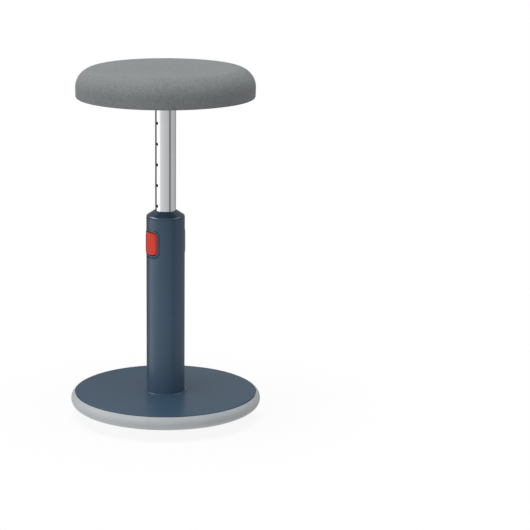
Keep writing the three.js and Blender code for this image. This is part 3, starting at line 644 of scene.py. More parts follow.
def at_screws(part):
    """Copies of a part at the base's screws."""
    return gathered(*around(BASE_SCREWS, BASE_SCREW_CIRCLE, part))


def make_cover():
    disc = collar(COVER_HOLE, cover_radius, cover_bottom, base_top, COVER_EDGES, 6)
    cover = add_piece("base_top", disc, "blue_shell", "base", "base_cover")
    combined(cover, at_screws(cylinder(BOSS_RADIUS, *COVER_BOSS, BOSS_SEGMENTS)), "UNION")
    (start, end), (bottom, top) = RIB_SPAN, COVER_BOSS
    rib = block((start, -RIB_HALF, bottom), (end, RIB_HALF, top))
    combined(cover, gathered(*around(BASE_SCREWS, 0, rib)), "UNION")


def make_rim():
    lap = cover_radius + RIM_GROOVE
    ledge = cover_radius - RIM_GROOVE
    top_angle = math.degrees(math.acos((lap - rim_centre[0]) / RIM_SECTION))
    shell_rim = (DOME_RADIUS - SHELL_THICKNESS) * math.cos(math.radians(dome_edge)) + GAP
    outline = [
        *arc(*rim_centre, RIM_SECTION, dome_edge + RIM_EDGE_ANGLE, top_angle, 28),
        (lap, base_top - GROOVE_DEPTH),
        (ledge, base_top - GROOVE_DEPTH),
        (ledge, cover_bottom - GAP),
        (RIM_INSIDE, cover_bottom - GAP),
        (RIM_INSIDE, dome_height(RIM_INSIDE, SHELL_THICKNESS + GAP)),
        (shell_rim, dome_height(shell_rim, SHELL_THICKNESS + GAP)),
    ]
    add_piece("soft_rim", turned(outline), "grey_soft", "base", "bumper_ring")


def make_shell():
    recess_radius = sole_radius + GAP
    inner_radius = DOME_RADIUS - SHELL_THICKNESS
    sole_angle = -math.degrees(math.acos(recess_radius / DOME_RADIUS))
    floor_angle = -math.degrees(math.asin((dome_centre - SHELL_FLOOR) / inner_radius))
    outline = [
        (0, SHELL_FLOOR),
        (0, SOLE_RECESS),
        (recess_radius, SOLE_RECESS),
        *arc(0, dome_centre, DOME_RADIUS, sole_angle, dome_edge, 24),
        *arc(0, dome_centre, inner_radius, dome_edge, floor_angle, 24),
    ]
    shell = add_piece("dome_shell", turned(outline), "grey_shell", "base", "rocker_shell")
    boss = cylinder(BOSS_RADIUS, *SHELL_BOSS, BOSS_SEGMENTS)
    pit_top = dome_height(BASE_SCREW_CIRCLE) + SCREW_PIT_DEPTH
    pit = cylinder(SCREW_PIT_RADIUS, 0, pit_top, BOSS_SEGMENTS)
    bore = cylinder(SCREW_BORE_RADIUS, *SCREW_BORE, BORE_SEGMENTS)
    combined(shell, at_screws(boss), "UNION")
    combined(shell, at_screws(pit), "DIFFERENCE")
    combined(shell, at_screws(bore), "DIFFERENCE")


def make_sole():
    """A rubber pad with round grooves in its underside."""
    outline = [(0, SOLE_THICKNESS), (0, 0)]
    radius = TREAD_LAND
    while radius + TREAD_GROOVE + TREAD_LAND <= sole_radius:
        outline += [(radius, 0), (radius + TREAD_GROOVE / 4, TREAD_DEPTH)]
        outline += [(radius + TREAD_GROOVE * 3 / 4, TREAD_DEPTH), (radius + TREAD_GROOVE, 0)]
        radius += TREAD_LAND + TREAD_GROOVE
    outline += [(sole_radius - SOLE_BEVEL, 0), (sole_radius, SOLE_BEVEL)]
    outline += [(sole_radius, SOLE_THICKNESS)]
    add_piece("sole", turned(outline), "dark_rubber", "base", "sole_pad")


def screw(head_radius, head_height, radius, length, bottom):
    """A socket screw that points up, with its head at the bottom."""
    neck = bottom + head_height
    socket, depth, easing = head_radius * 0.5, head_height * 0.65, head_height * 0.15
    outline = [
        (0, bottom + depth),
        (socket, bottom + depth),
        (socket, bottom),
        (head_radius - easing, bottom),
        (head_radius, bottom + easing),
        (head_radius, neck),
        (radius, neck),
        (radius, neck + length - easing),
        (radius - easing, neck + length),
        (0, neck + length),
    ]
    return turned(outline, SMALL_SEGMENTS, flats=(1, 2))


# Head radius, head height and shank radius
BASE_SCREW = (4 * MM, 2.5 * MM, 2 * MM)
SEAT_SCREW = (5 * MM, 2.7 * MM, 3 * MM)


def make_screws(name, count, circle, sizes, body, replaced):
    """A ring of screws in place of the solids, whose names end in 1, 2 and so on."""
    low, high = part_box(f"{replaced}_1")
    shape = screw(*sizes, high.z - low.z - sizes[1], low.z)
    for i, part in enumerate(around(count, circle, shape), 1):
        add_piece(f"{name}_{i}", part, "zinc_steel", body, f"{replaced}_{i}")


# Column


def middle_height(node):
    return sum(corner.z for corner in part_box(node)) / 2


COLUMN_RADIUS = 37.1 * MM
COLUMN_INSIDE = 34.6 * MM
COLUMN_EDGE = 0.5 * MM
CUT_OVERRUN = 5 * MM
# Half width, half height and corner of the button, the opening in its frame, and the frame
BUTTON_HALF = (16.8 * MM, 21.65 * MM, 9 * MM)
OPENING_HALF = (17.4 * MM, 23.3 * MM, 9.6 * MM)
PANEL_HALF = (22.4 * MM, 28.25 * MM, 13 * MM)
PANEL_REACH = 38.2 * MM
BUTTON_REACH = 39.5 * MM
button_centre = middle_height("release_button")
column_bottom, column_top = (corner.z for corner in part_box("column_sleeve"))
# The photograph shows the seam between column and cap this much lower than the solids have it
SEAM_DROP = 1.8 * MM
seam = column_top - SEAM_DROP


def grown(half, by):
    """A (half width, half height, corner) outline moved outwards."""
    return tuple(size + by for size in half)


def make_column():
    edges = (0, 0, COLUMN_EDGE, 0)
    tube = collar(COLUMN_INSIDE, COLUMN_RADIUS, column_bottom, seam, edges, 4, POST_SEGMENTS)
    sleeve = add_piece("column", tube, "blue_shell", "base", "column_sleeve")
    window = grown(PANEL_HALF, GAP)
    reaches = (COLUMN_INSIDE - CUT_OVERRUN, COLUMN_RADIUS + CUT_OVERRUN)
    cutter = wrapped([(*window, reach) for reach in reaches], button_centre)
    combined(sleeve, gathered(cutter, rotated(cutter, math.pi)), "DIFFERENCE")
    round_walls(sleeve, COLUMN_RADIUS, COLUMN_INSIDE)

    low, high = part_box("column_foot_ring")
    inner = COLUMN_RADIUS + GAP
    bead = (high.z - low.z) * 0.95
    outline = [(inner, high.z - COLUMN_EDGE), (inner, low.z), (high.x, low.z)]
    outline += arc(high.x - bead, high.z - bead, bead, 0, 90, 10)
    outline += [(inner + COLUMN_EDGE, high.z)]
    add_glossy("foot_bead", turned(outline), "column_foot_ring")

    make_cap()
    make_panels()
    make_spring()


def add_glossy(name, part, replaced):
    """A piece of the base whose blue plastic comes glossier out of its mould than the rest."""
    piece = add_piece(name, part, "blue_shell", "base", replaced)
    piece.data.materials[0] = materials["blue_gloss"]


SPRING_TURNS = 4
SPRING_WIRE = 0.35 * MM
SPRING_STEPS = 20
SPRING_SIDES = 10


def make_spring():
    """The lever's spring, coiled along Y between the ends of the solid. In the real stool it gets
    shorter, towards the lock housing, as the button goes in; this mesh keeps one length.
    """
    low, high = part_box("button_spring")
    coil = (high.z - low.z) / 2 - SPRING_WIRE
    height = middle_height("button_spring")
    steps = SPRING_TURNS * SPRING_STEPS
    sides = [2 * math.pi * i / SPRING_SIDES for i in range(SPRING_SIDES)]
    ends = (low.y + SPRING_WIRE, high.y - SPRING_WIRE)
    vertices, rings = [], []
    for step in range(steps + 1):
        turn = 2 * math.pi * step / SPRING_STEPS
        y = ends[0] + (ends[1] - ends[0]) * step / steps
        rings.append(range(len(vertices), len(vertices) + SPRING_SIDES))
        for side in sides:
            r = coil + SPRING_WIRE * math.cos(side)
            along = y + SPRING_WIRE * math.sin(side)
            vertices.append((r * math.cos(turn), along, height + r * math.sin(turn)))
    faces = [*skin(rings), list(rings[0]), list(rings[-1])[::-1]]
    spring = add_piece("return_spring", (vertices, faces), "zinc_steel", "base", "button_spring")
    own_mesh(spring)


# Cap: its shoulder and cone, the opening for the post, and the hub that holds the bush
CAP_SHOULDER = 5.2 * MM
CAP_CONE = 31
CAP_OPENING = 20.8 * MM
CAP_WALL = 2.6 * MM
CAP_LIP = 3.3 * MM
LIP_ROUNDING = 0.8 * MM
LIP_CENTRE_DROP = 0.9 * MM
HUB_INNER = 24.8 * MM
HUB_BOTTOM = 395.6 * MM
BUSH_OUTER = 24.5 * MM
BUSH_INNER = 20.15 * MM
BUSH_EDGE = 0.6 * MM


def make_cap():
    bottom = seam + GAP
    centre = (COLUMN_RADIUS - CAP_SHOULDER, bottom + COLUMN_EDGE)
    cone = math.radians(CAP_CONE)
    roof_start = centre[0] + CAP_SHOULDER * math.sin(cone)
    roof_rise = (roof_start - CAP_OPENING) * math.tan(cone)
    top = centre[1] + CAP_SHOULDER * math.cos(cone) + roof_rise
    lip = (CAP_OPENING + LIP_ROUNDING, top - LIP_CENTRE_DROP)

    def under_roof(radius):
        return top - CAP_WALL / math.cos(cone) - (radius - CAP_OPENING) * math.tan(cone)

    spigot_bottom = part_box("collar_cap")[0].z
    spigot_outer = COLUMN_INSIDE - GAP
    spigot_inner = spigot_outer - CAP_WALL
    hub_outer = HUB_INNER + CAP_WALL
    outline = [
        (spigot_inner, spigot_bottom),
        (spigot_outer, spigot_bottom),
        (spigot_outer, bottom),
        (COLUMN_RADIUS - COLUMN_EDGE, bottom),
        *arc(*centre, CAP_SHOULDER, 0, 90 - CAP_CONE, 14),
        *arc(*lip, LIP_ROUNDING, 90 - CAP_CONE, 180, 6),
        (CAP_OPENING, top - CAP_LIP),
        (HUB_INNER, top - CAP_LIP),
        (HUB_INNER, HUB_BOTTOM),
        (hub_outer, HUB_BOTTOM),
        (hub_outer, under_roof(hub_outer)),
        (spigot_inner, under_roof(spigot_inner)),
    ]
    add_glossy("cap", turned(outline), "collar_cap")

    low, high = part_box("upper_guide_bush")
    bush = collar(BUSH_INNER, BUSH_OUTER, low.z, high.z, (0, 0, 0, BUSH_EDGE))
    add_piece("post_bush", bush, "black_plastic", "base", "upper_guide_bush")


# Inset from the outline, and the reach there, from the frame's outer edge to its ridge
PANEL_EDGE = (
    (0, COLUMN_INSIDE + GAP),
    (0, COLUMN_RADIUS - 1.3 * MM),
    (0.2 * MM, COLUMN_RADIUS - 1.1 * MM),
    (1.1 * MM, COLUMN_RADIUS - 1.0 * MM),
    (1.6 * MM, COLUMN_RADIUS - 0.6 * MM),
    (2.0 * MM, COLUMN_RADIUS + 0.3 * MM),
    (2.4 * MM, PANEL_REACH - 0.35 * MM),
    (2.9 * MM, PANEL_REACH - 0.08 * MM),
    (3.5 * MM, PANEL_REACH),
)
# The same from the ridge into the opening
OPENING_EDGE = (
    (0.9 * MM, PANEL_REACH),
    (0.4 * MM, PANEL_REACH - 0.06 * MM),
    (0.1 * MM, PANEL_REACH - 0.25 * MM),
    (0, PANEL_REACH - 0.6 * MM),
    (0, COLUMN_INSIDE + GAP),
)
BUTTON_WALL = 2 * MM
BUTTON_SKIRT_END = 33.9 * MM
BUTTON_FACE_INSIDE = 36.7 * MM
BUTTON_EDGE_INSET = 2.4 * MM
BUTTON_EDGE_DROP = 1.3 * MM


def make_panels():
    outer = [(*grown(PANEL_HALF, -inset), reach) for inset, reach in PANEL_EDGE]
    inner = [(*grown(OPENING_HALF, inset), reach) for inset, reach in OPENING_EDGE]
    bezel = wrapped(outer + inner, button_centre, ring=True)
    add_piece("button_frame", bezel, "blue_shell", "base", "button_bezel")
    pad = rotated(wrapped(outer, button_centre), math.pi)
    add_piece("blank_pad", pad, "blue_shell", "base", "rear_pad")

    hollow = grown(BUTTON_HALF, -BUTTON_WALL)
    loops = [(*hollow, BUTTON_FACE_INSIDE), (*hollow, BUTTON_SKIRT_END)]
    loops += [(*BUTTON_HALF, BUTTON_SKIRT_END)]
    for a in np.linspace(0, math.pi / 2, 8):
        inset = BUTTON_EDGE_INSET * (1 - math.cos(a))
        drop = BUTTON_EDGE_DROP * (1 - math.sin(a))
        loops.append((*grown(BUTTON_HALF, -inset), BUTTON_REACH - drop))
    button = wrapped(loops, button_centre)
    add_piece("button", button, "red_button", "lever", "release_button")


# Post


POST_RADIUS = 20 * MM
POST_INSIDE = 18 * MM
HOLE_RADIUS = 3.2 * MM
HOLE_FLARE = 0.08 * MM
DRILL_OVERRUN = 2 * MM
DRILL_PAST_WALL = 3 * MM
POST_EDGE = 0.5 * MM
HOLE_PITCH = 40 * MM
HOLE_COUNT = 6
LOWEST_HOLE = 379.4 * MM


def make_post():
    low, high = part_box("post_tube")
    edges = (0, POST_EDGE, 0, 0)
    shape = collar(POST_INSIDE, POST_RADIUS, low.z, high.z, edges, segments=POST_SEGMENTS)
    tube = add_piece("post", shape, "post_chrome", "post", "post_tube")
    start, end = -POST_RADIUS - DRILL_OVERRUN, -POST_INSIDE + DRILL_PAST_WALL
    drill = [
        (0, start),
        (HOLE_RADIUS + HOLE_FLARE + DRILL_OVERRUN, start),
        (HOLE_RADIUS, -POST_RADIUS + HOLE_FLARE),
        (HOLE_RADIUS, end),
        (0, end),
    ]
    heights = [LOWEST_HOLE + i * HOLE_PITCH for i in range(HOLE_COUNT)]
    drills = [facing_front(turned(drill, 40), height) for height in heights]
    combined(tube, gathered(*drills), "DIFFERENCE")
    round_walls(tube, POST_RADIUS, POST_INSIDE)
    # The inside of the tube and the walls of its holes take a near-black material: painted shade
    # inside the tube and its holes
    tube.data.materials.append(painted_bore_shade)
    for face in tube.data.polygons:
        if math.hypot(face.center.x, face.center.y) < POST_RADIUS - HOLE_FLARE:
            face.material_index = 1


SEAT_BOLTS = 4
SEAT_BOLT_CIRCLE = 42 * MM
SEAT_BOLT_HOLE = 3.3 * MM
PLATE_EDGES = (0, 0.8 * MM, 0.4 * MM, 0)
WELD_SIZE = 4 * MM
WELD_RIPPLES = 34
WELD_RIPPLE_SHARE = 0.07


def make_seat_plate():
    low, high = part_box("seat_mount_plate")
    plate = collar(0, high.x, low.z, high.z, PLATE_EDGES)
    piece = add_piece("seat_plate", plate, "black_steel", "post", "seat_mount_plate")
    bore = cylinder(SEAT_BOLT_HOLE, low.z - DRILL_OVERRUN, high.z + DRILL_OVERRUN)
    combined(piece, gathered(*around(SEAT_BOLTS, SEAT_BOLT_CIRCLE, bore)), "DIFFERENCE")

    inner, top = POST_RADIUS + 0.1 * MM, low.z - 0.1 * MM
    outline = [(inner, top), *arc(inner, top, WELD_SIZE, -90, 0)]
    vertices, faces = turned(outline, POST_SEGMENTS)
    bead = []
    for x, y, z in vertices:
        turn, radius = math.atan2(y, x), math.hypot(x, y)
        swelling = 1 + WELD_RIPPLE_SHARE * math.cos(WELD_RIPPLES * turn + math.sin(3 * turn))
        radius = inner + (radius - inner) * swelling
        height = top + (z - top) * swelling
        bead.append((radius * math.cos(turn), radius * math.sin(turn), height))
    add_piece("weld", (bead, faces), "black_steel", "post")


# Seat


# The cushion's outline, seen in the photograph but for the wrapped edge
SEAT_HEIGHT = 54.6 * MM
SEAT_CROWN = 3.2 * MM
SEAT_WIDEST = 18.5 * MM
SEAT_SHOULDER_WIDTH = 30.5 * MM
SEAT_EDGE_ANGLE = math.radians(78)
SEAT_FOOT_INSET = 0.35 * MM
SEAT_FOOT_ROUNDING = 3.2 * MM
EDGE_WIDTH = 6 * MM
SEAT_WRAP = 23 * MM
SEAT_PUFF = 1.7 * MM
CLOTH_THICKNESS = 0.6 * MM
COVER_INSET = 0.2 * MM
# How the cloth gives, and its pleats at the wrapped edge
SWELL_PRESSURE = 0.5
SWELL_FRAMES = 20
SWELL_CAP = 2.5 * MM
SLACK_SIZE = 70 * MM
SLACK_DEPTH = 0.4 * MM
WARP_AZIMUTH = CAMERA_AZIMUTH
PLEATS = 47
PLEAT_DEPTH = 0.5 * MM
# Rings of the cushion's mesh along each stretch of the outline
CROWN_STEPS = 15
EDGE_STEPS = 3
SHOULDER_STEPS = 20
SIDE_CLOTH_STEPS = 5
FOOT_STEPS = 5
WRAP_STEPS = 6
seat_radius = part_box("seat_cover")[1].x
seat_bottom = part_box("seat_cover")[0].z


def evenly(points, steps):
    """A line through (radius, height) points, cut into that many equal steps."""
    points = np.array(points)
    lengths = np.concatenate([[0], np.cumsum(np.linalg.norm(np.diff(points, axis=0), axis=1))])
    stops = np.linspace(0, lengths[-1], steps + 1)
    return [(np.interp(s, lengths, points[:, 0]), np.interp(s, lengths, points[:, 1])) for s in stops]


def seat_outline(inset):
    """(radius, height) points of the cover from the middle of its top, over the shoulder and
    down the side, round the foot and in under the board, where it is stapled."""
    top_radius = seat_radius - SEAT_SHOULDER_WIDTH
    widest, widest_height = seat_radius - inset, seat_bottom + SEAT_WIDEST
    shoulder_top = seat_bottom + SEAT_HEIGHT - inset

    def crown(start, end):
        shares = np.linspace(start, end, 40) / top_radius
        return [(top_radius * s, shoulder_top + SEAT_CROWN * (1 - s**2) ** 2) for s in shares]

    edge_start = top_radius - EDGE_WIDTH
    width = (widest - top_radius) / (1 - math.cos(SEAT_EDGE_ANGLE))
    rise = (shoulder_top - widest_height) / math.sin(SEAT_EDGE_ANGLE)
    shoulder = []
    for a in np.linspace(SEAT_EDGE_ANGLE, 0, 120):
        place = (widest - width * (1 - math.cos(a)), widest_height + rise * math.sin(a))
        shoulder.append(place)
    foot = seat_radius - SEAT_FOOT_INSET - inset
    foot_height = seat_bottom - SEAT_PUFF + SEAT_FOOT_ROUNDING
    corner = arc(foot - SEAT_FOOT_ROUNDING, foot_height, SEAT_FOOT_ROUNDING, 0, -90, 24)
    stapled = (seat_radius - SEAT_WRAP, seat_bottom)
    stretches = [
        (crown(0, edge_start), CROWN_STEPS),
        (crown(edge_start, top_radius), EDGE_STEPS),
        (shoulder, SHOULDER_STEPS),
        ([shoulder[-1], corner[0]], SIDE_CLOTH_STEPS),
        (corner, FOOT_STEPS),
        ([corner[-1], stapled], WRAP_STEPS),
    ]
    outline = crown(0, edge_start)[:1]
    for points, steps in stretches:
        outline += evenly(points, steps)[1:]
    return outline


def flat_disc(steps):
    """A square grid drawn out to a disc of radius 1: its points and its faces."""
    points = []
    for j in range(steps + 1):
        for i in range(steps + 1):
            u, v = 2 * i / steps - 1, 2 * j / steps - 1
            size = max(abs(u), abs(v))
            if size == 0:
                points.append((0.0, 0.0))
                continue
            turn = math.pi / 4 * (v / u if abs(u) >= abs(v) else 2 - u / v)
            side = math.copysign(1, u if abs(u) >= abs(v) else v)
            points.append((side * size * math.cos(turn), side * size * math.sin(turn)))
    row = steps + 1
    corners = [corner for corner in range(steps * row) if corner % row < steps]
    return points, [[c, c + 1, c + row + 1, c + row] for c in corners]


def swell(cushion, pinned):
    """Blows the cover out with cloth simulation, and keeps each point's movement small."""
    rest = [vertex.co.copy() for vertex in cushion.data.vertices]
    held = cushion.vertex_groups.new(name="held")
    held.add(pinned, 1.0, "REPLACE")
    modifier = cushion.modifiers.new("swell", "CLOTH")
    settings = modifier.settings
    settings.quality = 6
    settings.mass = 0.3
    settings.tension_stiffness = 80
    settings.compression_stiffness = 80
    settings.shear_stiffness = 60
    settings.bending_stiffness = 10
    settings.use_pressure = True
    settings.uniform_pressure_force = SWELL_PRESSURE
    settings.vertex_group_mass = held.name
    settings.effector_weights.gravity = 0
    modifier.collision_settings.use_collision = False
    modifier.point_cache.frame_start = 1
    modifier.point_cache.frame_end = SWELL_FRAMES
    for number in range(1, SWELL_FRAMES + 1):
        bpy.context.scene.frame_set(number)
    apply_modifiers(cushion)
    bpy.context.scene.frame_set(1)
    cushion.vertex_groups.clear()
    for vertex, start in zip(cushion.data.vertices, rest):
        moved = vertex.co - start
        vertex.co = start + moved * (SWELL_CAP / (SWELL_CAP + moved.length))


def make_cushion():
    outline = seat_outline(COVER_INSET)
    lengths = [0.0]
    for one, other in zip(outline, outline[1:]):
        lengths.append(lengths[-1] + math.dist(one, other))
    rings = len(outline) - 1
    under_side = rings - WRAP_STEPS
    points, faces = flat_disc(2 * rings)
    vertices, flat, pinned = [], [], []
    for number, (u, v) in enumerate(points):
        ring, turn = round(math.hypot(u, v) * rings), math.atan2(v, u)
        radius, height = outline[ring]
        wrap = max(ring - under_side, 0) / WRAP_STEPS
        pleat = math.cos(PLEATS * turn + 2 * math.sin(5 * turn)) + 0.4 * math.cos(31 * turn)
        height -= PLEAT_DEPTH * wrap * (1 + pleat / 2)
        place = Vector((radius * math.cos(turn), radius * math.sin(turn), height))
        slack = noise.noise(place / SLACK_SIZE) * SLACK_DEPTH * (1 - wrap)
        outward = Vector((place.x, place.y, place.z - seat_bottom)).normalized()
        vertices.append(place + outward * slack)
        warp_turn = turn - WARP_AZIMUTH
        flat.append((lengths[ring] * math.cos(warp_turn), lengths[ring] * math.sin(warp_turn)))
        if ring > under_side:
            pinned.append(number)
    cushion = add_piece("cushion", (vertices, faces), "grey_cloth", "post", "seat_cover")
    layer = cushion.data.uv_layers.new(name=FLAT_MAP)
    for loop in cushion.data.loops:
        layer.data[loop.index].uv = flat[loop.vertex_index]
    swell(cushion, pinned)
    cushion.modifiers.new("smooth", "SUBSURF").levels = 1
    thick = cushion.modifiers.new("thick", "SOLIDIFY")
    thick.thickness = CLOTH_THICKNESS
    thick.offset = -1
    apply_modifiers(cushion)
    soften(cushion)


STAPLES = 34
STAPLE_CIRCLE = 152.5 * MM
STAPLE_HALF = 5 * MM
STAPLE_LEG = 3.6 * MM
STAPLE_BEND = 0.9 * MM
WIRE_WIDTH = 1.1 * MM
WIRE_THICKNESS = 0.5 * MM


def staple():
    """A staple of flat wire that lies along Y, with its legs up."""
    half_width = WIRE_WIDTH / 2
    sides = []
    for inset in (0, WIRE_THICKNESS):
        left = arc(STAPLE_BEND - STAPLE_HALF, STAPLE_BEND, STAPLE_BEND - inset, 180, 270, 4)
        right = arc(STAPLE_HALF - STAPLE_BEND, STAPLE_BEND, STAPLE_BEND - inset, 270, 360, 4)
        ends = [(side * (STAPLE_HALF - inset), STAPLE_LEG) for side in (-1, 1)]
        sides.append([ends[0], *left, *right, ends[1]])
    vertices, rings = [], []
    for (y, z), (inner_y, inner_z) in zip(*sides):
        rings.append(list(range(len(vertices), len(vertices) + 4)))
        vertices += [(-half_width, y, z), (half_width, y, z)]
        vertices += [(half_width, inner_y, inner_z), (-half_width, inner_y, inner_z)]
    return vertices, [rings[0], rings[-1], *skin(rings)]


DUST_CLOTH = (58.3 * MM, 147.9 * MM)
DUST_CLOTH_THICKNESS = 0.4 * MM
DUST_CLOTH_SAG = 1.1 * MM
DUST_CLOTH_STEPS = 24
SAG_SIZE = 35 * MM


def make_underside():
    crown = seat_bottom - PLEAT_DEPTH - WIRE_THICKNESS
    staples = gathered(*around(STAPLES, STAPLE_CIRCLE, shifted(staple(), z=crown)))
    add_piece("staples", staples, "zinc_steel", "post")

    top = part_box("seat_underside_cover")[1].z - 0.1 * MM
    inner, outer = DUST_CLOTH
    radii = np.linspace(inner, outer, DUST_CLOTH_STEPS + 1)
    bottom = top - DUST_CLOTH_THICKNESS
    outline = [(radius, bottom) for radius in radii] + [(radius, top) for radius in radii[::-1]]
    flat, faces = turned(outline)
    vertices = []
    for x, y, z in flat:
        share = (math.hypot(x, y) - inner) / (outer - inner)
        slack = 0.5 + noise.noise(Vector((x, y, 0)) / SAG_SIZE)
        sag = DUST_CLOTH_SAG * math.sin(math.pi * share) * max(slack, 0)
        vertices.append((x, y, z - sag))
    cloth = add_piece(
        "dust_cloth", (vertices, faces), "black_cloth", "post", "seat_underside_cover"
    )


# Studio


def from_background(tree):
    """1 for the rays that show the background: the camera's, and those of metal and glass."""
    path = add_node(tree, "ShaderNodeLightPath").outputs
    bent = arithmetic(tree, "MAXIMUM", path["Is Glossy Ray"], path["Is Transmission Ray"])
    return arithmetic(tree, "MAXIMUM", path["Is Camera Ray"], bent)


# How bright the floor is near the stool and far from it, and where the one passes into the other
FLOOR_NEAR, FLOOR_FAR = 0.84, 0.37
FLOOR_POOL = (0.45, 1.3)
FLOOR_SHADE = 0.12
FLOOR_RADIUS = 30
FLOOR_THICKNESS = 0.02
STAGE_SEGMENTS = 96


def bare_tree(owner):
    """The emptied node tree of a material or world."""
    owner.use_nodes = True
    owner.node_tree.nodes.clear()
    return owner.node_tree


def shader_mix(tree, share, first, second):
    inputs = {0: share, 1: first.outputs[0], 2: second.outputs[0]}
    return add_node(tree, "ShaderNodeMixShader", inputs)


def make_floor():
    """A pale floor that looks white, and keeps the stool's shadow. It glows round the stool."""
    material = bpy.data.materials.new("floor")
    tree = bare_tree(material)
    distance = add_node(tree, "ShaderNodeVectorMath", {0: own_place(tree)}, operation="LENGTH")
    strength = spread(tree, distance.outputs["Value"], *FLOOR_POOL, FLOOR_NEAR, FLOOR_FAR)
    glow = add_node(tree, "ShaderNodeEmission", {"Strength": strength})
    white = add_node(tree, "ShaderNodeEmission", {"Strength": 1.0})
    lit = add_node(tree, "ShaderNodeBsdfDiffuse", {"Color": (0.9, 0.9, 0.9, 1)})
    shown = shader_mix(tree, FLOOR_SHADE, white, lit)
    both = shader_mix(tree, from_background(tree), glow, shown)
    add_node(tree, "ShaderNodeOutputMaterial", {"Surface": both.outputs[0]})
    mesh = closed_mesh("floor", *cylinder(FLOOR_RADIUS, -FLOOR_THICKNESS, 0, STAGE_SEGMENTS))
    mesh.materials.append(material)
    add_object("floor", mesh)


SKY_LEVEL = 0.32


def make_world():
    world = bpy.data.worlds.new("studio")
    bpy.context.scene.world = world
    tree = bare_tree(world)
    dim = add_node(tree, "ShaderNodeBackground", {"Strength": SKY_LEVEL})
    white = add_node(tree, "ShaderNodeBackground", {"Strength": 1.0})
    for background in (dim, white):
        background.inputs["Color"].default_value = (1, 1, 1, 1)
    both = shader_mix(tree, from_background(tree), dim, white)
    add_node(tree, "ShaderNodeOutputWorld", {"Surface": both.outputs[0]})


# Soft lamps: azimuth and elevation in degrees, strength, and how wide they look
LAMPS = {
    "top_light": (30, 86, 2.3, 56),
    "side_light": (-3, 5, 1.5, 60),
}


def add_lamp(name, azimuth, elevation, strength, width):
    data = bpy.data.lights.new(name, "SUN")
    data.energy = strength
    data.angle = math.radians(width)
    lamp = add_object(name, data)
    a, e = math.radians(azimuth), math.radians(elevation)
    away = Vector((math.sin(a) * math.cos(e), -math.cos(a) * math.cos(e), math.sin(e)))
    lamp.rotation_euler = away.to_track_quat("Z", "Y").to_euler()
    lamp.visible_glossy = False


WALL_RADIUS = 1.7
WALL_FOOT_RADIUS = 0.2
WALL_HEIGHT = 2.2
# Degrees round from the camera, and the wall's brightness there at its foot and at its top
WALL_BANDS = (
    (-180, 0.1, 0.32),
    (-132, 0.1, 0.32),
    (-114, 0.45, 2.2),
    (-103, 1.4, 5.5),
    (-76, 1.3, 5.5),
    (-62, 0.85, 2.2),
    (-44, 0.68, 0.5),
    (0, 0.58, 0.4),
    (36, 0.5, 0.32),
    (44, 0.12, 0.32),
    (54, 0.2, 0.32),
    (66, 0.5, 1.8),
    (104, 0.48, 1.8),
    (125, 0.42, 0.32),
    (140, 0.3, 0.32),
    (180, 0.28, 0.32),
)
# The even brightness between foot and top, and of the roof, and the heights in metres where
# each passes into the next
WALL_MIDDLE = 0.34
ROOF_LEVEL = 0.34
FOOT_END = (0.38, 0.47)
TOP_START = (0.95, 1.15)
ROOF_START = (2.1, 2.19)


def band_level(tree, share, column):
    """The brightness in one column of WALL_BANDS, at a share of the way round."""
    curve = add_node(tree, "ShaderNodeFloatCurve", {"Value": share})
    brightest = max(band[column] for band in WALL_BANDS)
    places = [(band[0] / 360 + 0.5, band[column] / brightest) for band in WALL_BANDS]
    points = curve.mapping.curves[0].points
    points[0].location, points[-1].location = places[0], places[-1]
    for place in places[1:-1]:
        points.new(*place)
    for point in points:
        point.handle_type = "VECTOR"
    curve.mapping.update()
    return arithmetic(tree, "MULTIPLY", curve.outputs["Value"], brightest)


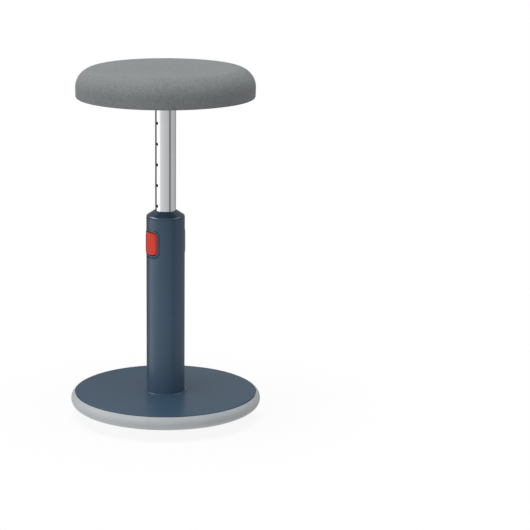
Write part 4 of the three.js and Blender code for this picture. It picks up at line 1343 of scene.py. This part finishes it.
def make_wall():
    """A round wall that only reflections see: the studio's panels and the dark gaps between."""
    material = bpy.data.materials.new("studio_wall")
    tree = bare_tree(material)
    parts = add_node(tree, "ShaderNodeSeparateXYZ", {"Vector": own_place(tree)})
    back = arithmetic(tree, "MULTIPLY", parts.outputs["Y"], -1.0)
    azimuth = arithmetic(tree, "ARCTAN2", parts.outputs["X"], back)
    azimuth = arithmetic(tree, "SUBTRACT", azimuth, CAMERA_AZIMUTH)
    within = {0: azimuth, 1: -math.pi, 2: math.pi}
    within = add_node(tree, "ShaderNodeMath", within, operation="WRAP").outputs["Value"]
    share = spread(tree, within, -math.pi, math.pi, 0, 1)
    level = band_level(tree, share, 1)
    top = band_level(tree, share, 2)
    zones = ((FOOT_END, WALL_MIDDLE), (TOP_START, top), (ROOF_START, ROOF_LEVEL))
    for heights, following in zones:
        passed = spread(tree, parts.outputs["Z"], *heights, 0, 1)
        level = add_node(tree, "ShaderNodeMix", {0: passed, 2: level, 3: following}).outputs[0]
    light = add_node(tree, "ShaderNodeEmission", {"Strength": level})
    add_node(tree, "ShaderNodeOutputMaterial", {"Surface": light.outputs[0]})
    outline = [(0, WALL_HEIGHT), (WALL_RADIUS, WALL_HEIGHT), (WALL_RADIUS, MM)]
    vertices, faces = turned([*outline, (WALL_FOOT_RADIUS, MM)], STAGE_SEGMENTS)
    mesh = bpy.data.meshes.new("studio_wall")
    mesh.from_pydata(vertices, [], faces)
    mesh.materials.append(material)
    wall = add_object("studio_wall", mesh)
    wall.visible_camera = False
    wall.visible_diffuse = False
    wall.visible_transmission = False
    wall.visible_shadow = False


def make_studio():
    make_floor()
    make_world()
    make_wall()
    for name, placing in LAMPS.items():
        add_lamp(name, *placing)


add_camera()
materials = make_materials()
# Inside of the post: unplated steel, painted near black as the shade inside the tube and its drilled
# holes
painted_bore_shade = moulded("painted_bore_shade", (0.012, 0.012, 0.013), 0.7, 0.4 * MM, 0.02 * MM)
for row in frame["record"]["subparts"]:
    node = frame["nodes"][row["node"]]
    node.data.materials.clear()
    node.data.materials.append(materials[row["material_slot"]])
make_cover()
make_rim()
make_shell()
make_sole()
make_screws("base_bolt", BASE_SCREWS, BASE_SCREW_CIRCLE, BASE_SCREW, "base", "base_screw")
make_screws("seat_bolt", SEAT_BOLTS, SEAT_BOLT_CIRCLE, SEAT_SCREW, "post", "seat_screw")
make_column()
make_post()
make_seat_plate()
make_cushion()
make_underside()
make_studio()

bpy.context.scene.view_settings.view_transform = "Standard"
